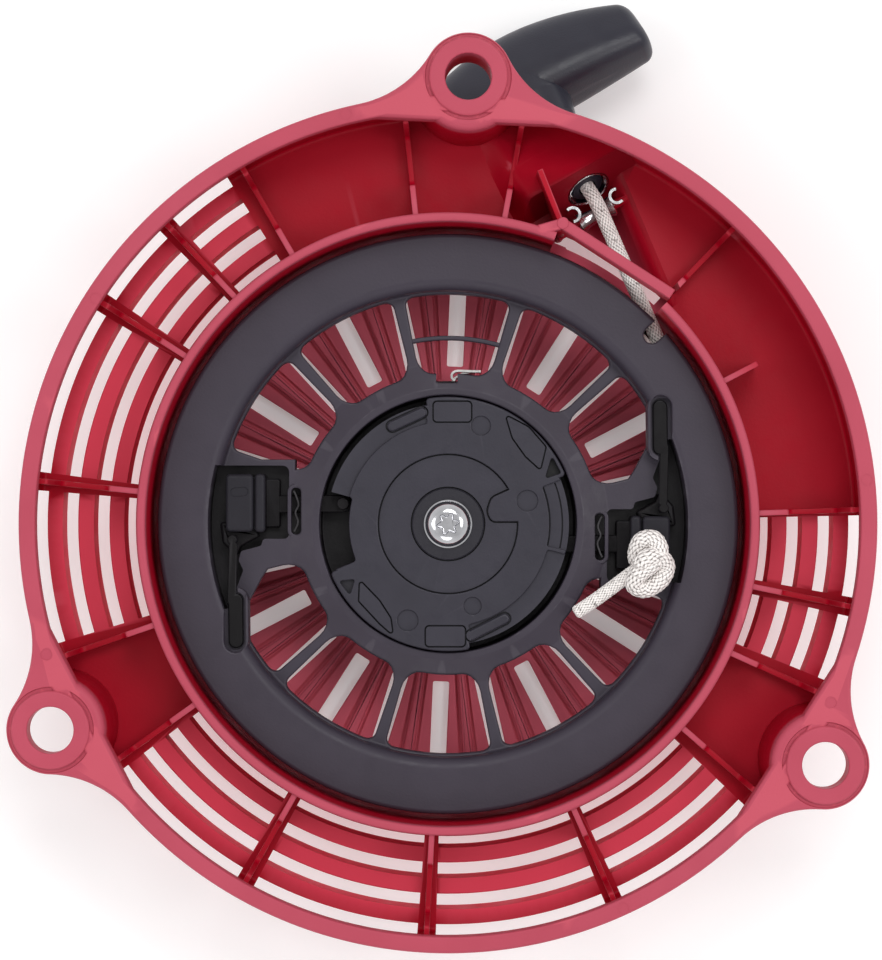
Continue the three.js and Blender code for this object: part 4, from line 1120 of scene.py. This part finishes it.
def guide_disc():
    top, step = GUIDE_TOP, 36.7
    corners = [
        (2.4, 30.1, 0), (8, 30.1, 0.3), (8, 33.5, 0), (27.6, 33.5, 0.3), (27.6, top, 0.5), (16, top, 0.25),
        (16, step, 0.2), (8.4, step, 0.25), (8.0, 36.1, 0.2), (2.4, 36.1, 0),
    ]
    body = lathe(rounded(corners, 3), 192)
    tongue = rounded([
        (17.2, 9.6, 0), (13.6, 7.7, 1.2), (9.9, 6.0, 2.4), (8.9, 2.9, 2.8), (9.9, 0.55, 1.6),
        (17.2, 0.55, 0),
    ], 6)
    body = add(body, slab(tongue, 35, top, 0, 0.3))
    body = add(body, *with_twins([slab(sector(25, 29.05, 22.4, 100.2, (0, 0.9), 1.0), 34, top, 0.3, 0.45)]))
    cuts = []
    for start in (101.5, 281.5):
        cuts.append(cutter(sector(23.4, 30, start, start + 64, 0.6), top - 0.85, top, 0.25))
    cuts.append(cutter(sector(22.6, 30, 164.6, 202, 0.8), 32, top, 0.3))
    cuts.append(slab(sector(22.4, 26.8, -17, 22, 0.8), 30, 35.4))
    cuts.append(cutter(sector(23.1, 30, -12.7, 21.5, 0.5), top - 0.7, top, 0.2))
    cuts.append(cutter(fillet([(23.7, 15.6), (25.8, 11.6), (22.1, 10.3)], 0.4), top - 2.2, top, 0.25))
    cuts.append(cutter(fillet([(-24.9, -13.0), (-22.4, -16.3), (-21.2, -12.6)], 0.4), top - 1.4, top, 0.25))
    for x, y, radius in ((18.1, 5.3, 2.4), (7.5, 22.4, 2.2), (5.6, -18.7, 2.0), (-9.2, -22.0, 2.4)):
        cuts.append(cutter(circle(radius, 40, x, y), top - 0.5, top, 0.2))
    body = cut(body, *cuts)
    fin = rounded([
        (13.0, 25.0, 0.5), (18.4, 22.2, 4), (22.4, 17.6, 0.8), (21.1, 12.2, 0.5), (17.6, 15.4, 2),
        (14.6, 19.6, 3),
    ], 5)
    lower_fin = rounded([
        (-20.4, -17.6, 0.5), (-15.6, -22.8, 3), (-12.4, -25.6, 0.5), (-13.0, -21.4, 2), (-15.6, -17.4, 2),
        (-20.2, -12.6, 0.5),
    ], 5)
    bars = [(-12.7, 22.3, -6.0, 25.4), (5.4, -25.4, 12.9, -21.6)]
    lines = [
        groove(fin), groove(lower_fin), groove(rectangle(-3.4, 5.4, 23.2, 28.0, 0.9)),
        groove(rectangle(-5.2, 4.0, -28.0, -23.2, 0.9)),
        arc_groove(26.1, -12.2, 21), arc_groove(23.25, -12.2, 21),
        arc_groove(15.85, 31, 361.5, 0.3, 1.8), arc_groove(8.4, 0, 359.9, 0.3, 2.0),
        keep(groove(offset(tongue, 0.15), 0.36, 1.8), slab(circle(16, 96), 30, 40)),
        *[groove(capsule(*bar, 1.4)) for bar in bars],
    ]
    body = cut(body, *lines)
    return add(body, *[slab(capsule(*bar, 1.15), top - 2, top + 0.02, 0, 0.5) for bar in bars])


finish_piece(guide_disc(), "guide_disc", GUIDE, "guide", ["ratchet_guide"], 13)


def pan_screw():
    corners = [
        (0, 10, 0), (1.4, 10, 0.2), (2, 11.5, 0.2), (2, 36.3, 0.3), (5.2, 36.3, 0.15), (5.2, 37.2, 0.4),
        (4.7, 38.5, 1.5), (3.2, 39.35, 3), (0, 39.5, 0),
    ]
    body = lathe(rounded(corners, 5), 96)
    star = []
    for i in range(96):
        angle = i * 360 / 96
        star.append(polar(2.2 + 0.48 * math.cos(6 * angle * DEG), angle + 10))
    socket = cutter(star, 37.0, 39.5, 0.16, 0.4)
    washer_line = lathe([(4.95, 36.25), (5.5, 36.25), (5.5, 36.6), (4.95, 36.6)], 96)
    return add(cut(body, socket), washer_line)


finish_piece(pan_screw(), "screw", CHROME, "housing", ["center_screw"], 35)

# ------------------------------------------------------------------ rope
def even(points, step):
    """Points along a path at even distances, and their distances from its start."""
    p = np.array(points, float)
    run = np.concatenate([[0], np.cumsum(np.linalg.norm(np.diff(p, axis=0), axis=1))])
    at = np.linspace(0, run[-1], max(2, round(run[-1] / step)) + 1)
    return np.stack([np.interp(at, run, p[:, k]) for k in range(3)], 1), at


def carried_frame(p):
    """Two directions square to a path, carried along it without twist."""
    t = np.gradient(p, axis=0)
    t /= np.linalg.norm(t, axis=1, keepdims=True)
    side = np.cross(t[0], (0, 0, 1))
    if np.linalg.norm(side) < 0.05:
        side = np.cross(t[0], (1, 0, 0))
    sides = []
    for direction in t:
        side = side - direction * side.dot(direction)
        side = side / np.linalg.norm(side)
        sides.append(side)
    sides = np.array(sides)
    return sides, np.cross(t, sides)


STRANDS = 12
BRAID_DEPTH = 0.46
PLAIN_RELIEF = 0.75


def braid(points, radius=ROPE_R, sides=72, step=0.17, closed=False, ends=(0.0, 0.0)):
    """Braided cord along a path: as many strands of each hand pass over and under each other."""
    p, run = even(points, step)
    first, second = carried_frame(p)
    if closed:
        p, run, first, second = p[:-1], run[:-1], first[:-1], second[:-1]
    lay = 1.35 * 2 * math.pi * radius / STRANDS
    total = run[-1] + step
    if closed:
        lay = total / (2 * round(total / lay / 2))
    along, turn = np.meshgrid(run / lay, np.arange(sides) / sides * STRANDS, indexing="ij")
    left, right = turn + along, turn - along
    over = (np.floor(left) + np.floor(right)) % 2 < 0.5
    width = 2 * np.where(over, left % 1, right % 1) - 1
    length = 2 * np.where(over, right % 1, left % 1) - 1
    relief = np.sqrt(1 - 0.96 * width**2) * (0.45 + 0.55 * np.sqrt(1 - 0.9 * length**2))
    reach = radius - BRAID_DEPTH * (1 - relief)
    for size, distance in zip(ends, (run, total - run)):
        if size:
            dome = 1 - np.clip(distance / size, 0, 1)
            reach = reach * np.sqrt(np.clip(1 - dome**2, 0.02, 1))[:, None]
    angle = np.arange(sides) / sides * 2 * math.pi
    circle_x, circle_y = np.cos(angle), np.sin(angle)
    loops = p[:, None, :] + reach[:, :, None] * (
        first[:, None, :] * circle_x[None, :, None] + second[:, None, :] * circle_y[None, :, None]
    )
    obj = loft([[tuple(q) for q in loop] for loop in loops], closed)
    set_attribute(obj, "relief", relief.ravel())
    return obj


def plain_cord(points, radius=ROPE_R, sides=24):
    """Round cord through a list of points, one ring at each."""
    p = np.array(points, float)
    first, second = carried_frame(p)
    loops = []
    for centre, a, b in zip(p, first, second):
        loops.append([tuple(centre + radius * (a * x + b * y)) for x, y in circle(1, sides)])
    obj = loft(loops)
    set_attribute(obj, "relief", np.full(len(p) * sides, PLAIN_RELIEF))
    return obj


def joined(objects):
    """Several meshes as one, with their relief kept."""
    with bpy.context.temp_override(
        active_object=objects[0], object=objects[0], selected_editable_objects=objects,
        selected_objects=objects,
    ):
        bpy.ops.object.join()
    return objects[0]


def exit_point(w, v=0.0, a=0.0):
    """A point from its distances along the pull, along the grip's bar and across both."""
    return np.array(EXIT + PULL * w + BAR * v + ACROSS * a)


TANGENT_R, TANGENT_ANGLE = 61, 23.6
TURN_Z = (34.1, 30.6)


def rope_route():
    """From the outer turn on the reel, out through the notch, over the roller to the exit."""
    foot = np.array([*polar(TANGENT_R, TANGENT_ANGLE), 0.0])
    bend = exit_point(-(ROPE_Z - EXIT.z) / math.sin(DIP * DEG))
    away = bend - np.array([foot[0], foot[1], ROPE_Z])
    length = np.linalg.norm(away)
    away /= length
    heights = [
        (1, TURN_Z[0]), (10, TURN_Z[0]), (21, 33.9), (29, 33.1), (36, 32.7), (42, ROPE_Z), (46, ROPE_Z),
    ]
    points = [foot + away * t + np.array([0, 0, z]) for t, z in heights]
    points += [bend - away * 4, bend - away * 1.6 - np.array([0, 0, 0.05])]
    points += [bend + np.array(PULL) * 1.6 - np.array([0, 0, 0.05])]
    return [*points, exit_point(-1.4), exit_point(0.6)]


rope_out = braid(curve_through(rope_route(), 10))
finish_piece(rope_out, "rope_out", ROPE, "housing", ["rope_run"], 180)

turns = []
for radius in (57.35, TANGENT_R - 0.1):
    for height in TURN_Z:
        loop = [(*polar(radius, 0.5 * k), height) for k in range(721)]
        turns.append(braid(loop, sides=20, step=0.5, closed=True))
finish_piece(joined(turns), "rope_turns", ROPE, "reel", ["rope_winding"], 180)

# The knot: up through the web, twice round itself, and out to the tail.
KNOT = [
    (43.3, -9.0, 38.6), (42.9, -6.6, 40.6), (43.9, -3.9, 42.0), (46.5, -3.6, 43.0), (47.7, -6.2, 43.6),
    (45.9, -9.0, 44.0), (42.9, -11.4, 43.6), (42.3, -13.8, 42.2), (44.9, -14.6, 41.4), (48.1, -12.6, 41.6),
    (49.3, -9.6, 42.0), (47.7, -7.6, 43.8), (44.7, -7.8, 45.0), (42.9, -10.0, 44.4),
]
TAIL = [
    (45.2, -8.6, 42.6), (42.8, -10.2, 42.0), (40.2, -12.2, 40.8), (36.6, -15.0, 39.3), (32.6, -17.9, 38.9),
    (28.8, -20.4, 38.9),
]
knot = braid(curve_through(KNOT, 10), 2.2, step=0.2, ends=(1.0, 1.2))
finish_piece(knot, "rope_knot", ROPE, "reel", ["rope_reel_knot"], 180)
tail = braid(curve_through(TAIL, 10), 1.6, ends=(0, 0.9))
finish_piece(tail, "rope_end", ROPE, "reel", ["rope_tail"], 180)

# Inside the grip the rope is a plain cord, its rings crowded at the exit.
STRETCH = 1.0
reach = np.concatenate([np.linspace(-STRETCH, STRETCH, 121), np.linspace(1.5, 31, 24)])
lead = [exit_point(w) for w in reach]
lead = dressed(plain_cord(lead, ROPE_R - 0.12), "rope_inner", ROPE, 60)
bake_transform(lead)
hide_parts("rope_lead")

GRIP_KNOT = [
    (0, 0, 30.8), (1.6, 0.6, 32.6), (2.0, -1.4, 35.2), (-0.6, -2.2, 36.8), (-2.2, 0.4, 35.8),
    (-0.6, 2.2, 34.0), (1.6, 1.6, 35.4), (1.0, -0.6, 38.2),
]
grip_knot = [tuple(exit_point(w, v, a)) for v, a, w in GRIP_KNOT]
grip_knot = braid(curve_through(grip_knot, 8), 1.7, 32, 0.3, ends=(0, 0.9))
finish_piece(grip_knot, "grip_end_knot", ROPE, "grip", ["rope_grip_knot"], 180)


# ------------------------------------------------------------------ exit ring and roller
def exit_ring():
    corners = [(4.55, -1.0, 0.2), (4.75, -1.3, 0.1), (5.0, -1.3, 0.1), (5.0, 1.1, 0.1), (4.55, 1.1, 0.1)]
    return in_exit(lathe(rounded(corners), 96))


def roller():
    half, end = 4.6, 2.6
    points = [(1.4, -half), (end - 0.3, -half), (end, -half + 0.35)]
    waist = [(1.8 + (end - 1.95) * abs(x) ** 2.6, x * (half - 0.75)) for x in np.linspace(-1, 1, 19)]
    points += [*waist, (end, half - 0.35), (end - 0.3, half), (1.4, half)]
    x, y = plan_point(ROLLER_U, ROLLER_V)
    return moved(lathe(points, 64), frame_matrix(ACROSS, PULL, BAR, (x, y, ROLLER_Z)))


def clips():
    """Two curled steel tabs over the roller's ends, each open away from the rope, and their legs."""
    out = []
    for side, u, v in ((-1, -4.4, -6.2), (1, -5.6, 4.7)):
        x, y = plan_point(u, v)
        facing = HEADING - 90 + (180 if side > 0 else 0)
        leg_bottom, leg_top = 24, 31.4
        tab = ribbon(arc(x, y, 1.6, facing - 112, facing + 112, 28), 0.62, leg_top - 0.1, 33.0)
        for start in (-112, 90):
            leg = ribbon(arc(x, y, 1.6, facing + start, facing + start + 22, 4), 0.5, leg_bottom, leg_top)
            tab = add(tab, leg)
        out.append(tab)
    return gathered(out)


finish_piece(clips(), "roller_clips", STEEL, "housing", angle=50)
finish_piece(exit_ring(), "exit_ring", STEEL, "housing", ["rope_eyelet"], 40)
finish_piece(roller(), "guide_roller", STEEL, "roller", ["rope_roller"], 40)

# ------------------------------------------------------------------ grip
GRIP_HALF, GRIP_WIDTH, GRIP_FLAT, FINGER_W = 31.0, 10.95, 0.8, 24.2
GRIP_END = 2.6


def grip_half_width(v):
    return GRIP_WIDTH * (1 - 0.38 * min(abs(v) / GRIP_HALF, 1) ** 1.9)


def grip_bar():
    """Straight on the finger side, crowned on the palm side, with well rounded ends."""
    stations = list(np.linspace(-GRIP_HALF + GRIP_END, GRIP_HALF - GRIP_END, 61))
    caps = [GRIP_HALF - GRIP_END * (1 - math.sin(k * math.pi / 16)) for k in range(1, 9)]
    stations = [-v for v in reversed(caps)] + stations + caps
    power = 2 / 3.2
    loops = []
    for v in stations:
        half = grip_half_width(v)
        beyond = max(0.0, abs(v) - (GRIP_HALF - GRIP_END)) / GRIP_END
        inset = GRIP_END * (1 - math.sqrt(max(0.0, 1 - beyond**2))) * 0.95
        loop = []
        for x, y in circle(1, 64):
            seam = 0.12 * math.exp(-((y * 16) ** 2))
            w = math.copysign(abs(x) ** power, x) * (half - inset + seam * 0.5)
            a = math.copysign(abs(y) ** power, y) * (half * GRIP_FLAT - inset)
            loop.append((v, a, w + FINGER_W + half))
        loops.append(loop)
    return loft(loops)


def grip():
    stem = [
        (0, -0.6, 0), (3.6, -0.6, 0.3), (4.05, 0.1, 0.3), (4.05, 2.4, 0.5), (5.4, 3.4, 0.9), (6.4, 12, 8),
        (7, 19, 6), (8.6, 25.2, 3), (8.6, 34, 0), (0, 34, 0),
    ]
    body = lathe(rounded(stem, 6), 96)
    body = add(grip_bar(), body)
    for w in (7.2, 10.4, 13.6):
        ring = lathe([(5.0, w - 0.35), (9, w - 0.9), (9, w + 0.9), (5.0, w + 0.35)], 96)
        groove_floor = slab(circle(4.05 + 0.1 * w + 0.78, 96), w - 2, w + 2)
        body = cut(body, cut(ring, groove_floor))
    bore = slab(circle(ROPE_R + 0.4, 32), -2, 30.2)
    pocket = slab(circle(5.2, 64), 29.2, 60)
    return in_exit(cut(body, bore, pocket))


def grip_cap():
    corners = [
        (0, 40, 0), (4.4, 40, 0.2), (4.9, 40.5, 0.3), (4.9, 45.3, 0.4), (4.2, 46.0, 0.5), (3.1, 46.15, 0.2),
        (2.9, 45.7, 0.15), (0, 45.6, 0),
    ]
    return in_exit(lathe(rounded(corners), 64))


finish_piece(grip(), "grip_body", RUBBER, "grip", ["grip_handle"], 40)
finish_piece(grip_cap(), "grip_plug", RUBBER, "grip", ["grip_cap"], 40)

# ------------------------------------------------------------------ lights and floor
def area_light(name, location, size, power, target=(0, 0, 0.03)):
    light = linked(name, bpy.data.lights.new(name, "AREA"))
    light.data.shape = "DISK"
    light.data.size = size
    light.data.energy = power
    light.location = location
    aim = Vector(target) - Vector(location)
    light.rotation_mode = "QUATERNION"
    light.rotation_quaternion = aim.to_track_quat("-Z", "Y")


area_light("key", (0.1, 0.62, 1.25), 0.6, 4.2)
area_light("right", (0.7, 0.1, 1.2), 0.5, 3.4)
area_light("front", (-0.1, -0.85, 1.05), 0.7, 1.5)
area_light("left", (-0.8, 0.0, 1.05), 0.7, 1.9)


def studio_world(horizon, zenith):
    """Soft white surroundings, dimmer overhead."""
    world = bpy.data.worlds.new("studio")
    world.use_nodes = True
    tree = world.node_tree
    direction = tree.nodes.new("ShaderNodeTexCoord").outputs["Generated"]
    split = fed(tree, tree.nodes.new("ShaderNodeSeparateXYZ"), Vector=direction)
    strength = remap(tree, split.outputs["Z"], horizon, zenith, 0, 1)
    fed(tree, tree.nodes["Background"], Color=(1, 1, 1, 1), Strength=strength)
    SCENE.world = world


studio_world(0.9, 0.6)


def floor():
    size = 3.0
    mesh = bpy.data.meshes.new("floor")
    corners = [(-size, -size, 0), (size, -size, 0), (size, size, 0), (-size, size, 0)]
    mesh.from_pydata(corners, [], [(0, 1, 2, 3)])
    obj = linked("floor", mesh)
    material, tree, shader = new_material("floor")
    fed(tree, shader, Base_Color=(0.8, 0.8, 0.8, 1), Roughness=0.9)
    fed(tree, shader, Emission_Color=(1, 1, 1, 1), Emission_Strength=0.24)
    mesh.materials.append(material)


floor()

CAD_LOOKS = {
    "thrust_washer": STEEL, "grip_washer": STEEL, "recoil_spring": SPRING, "friction_spring": SPRING,
}
for node, look in CAD_LOOKS.items():
    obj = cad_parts[node]
    obj.data.materials.clear()
    obj.data.materials.append(look)
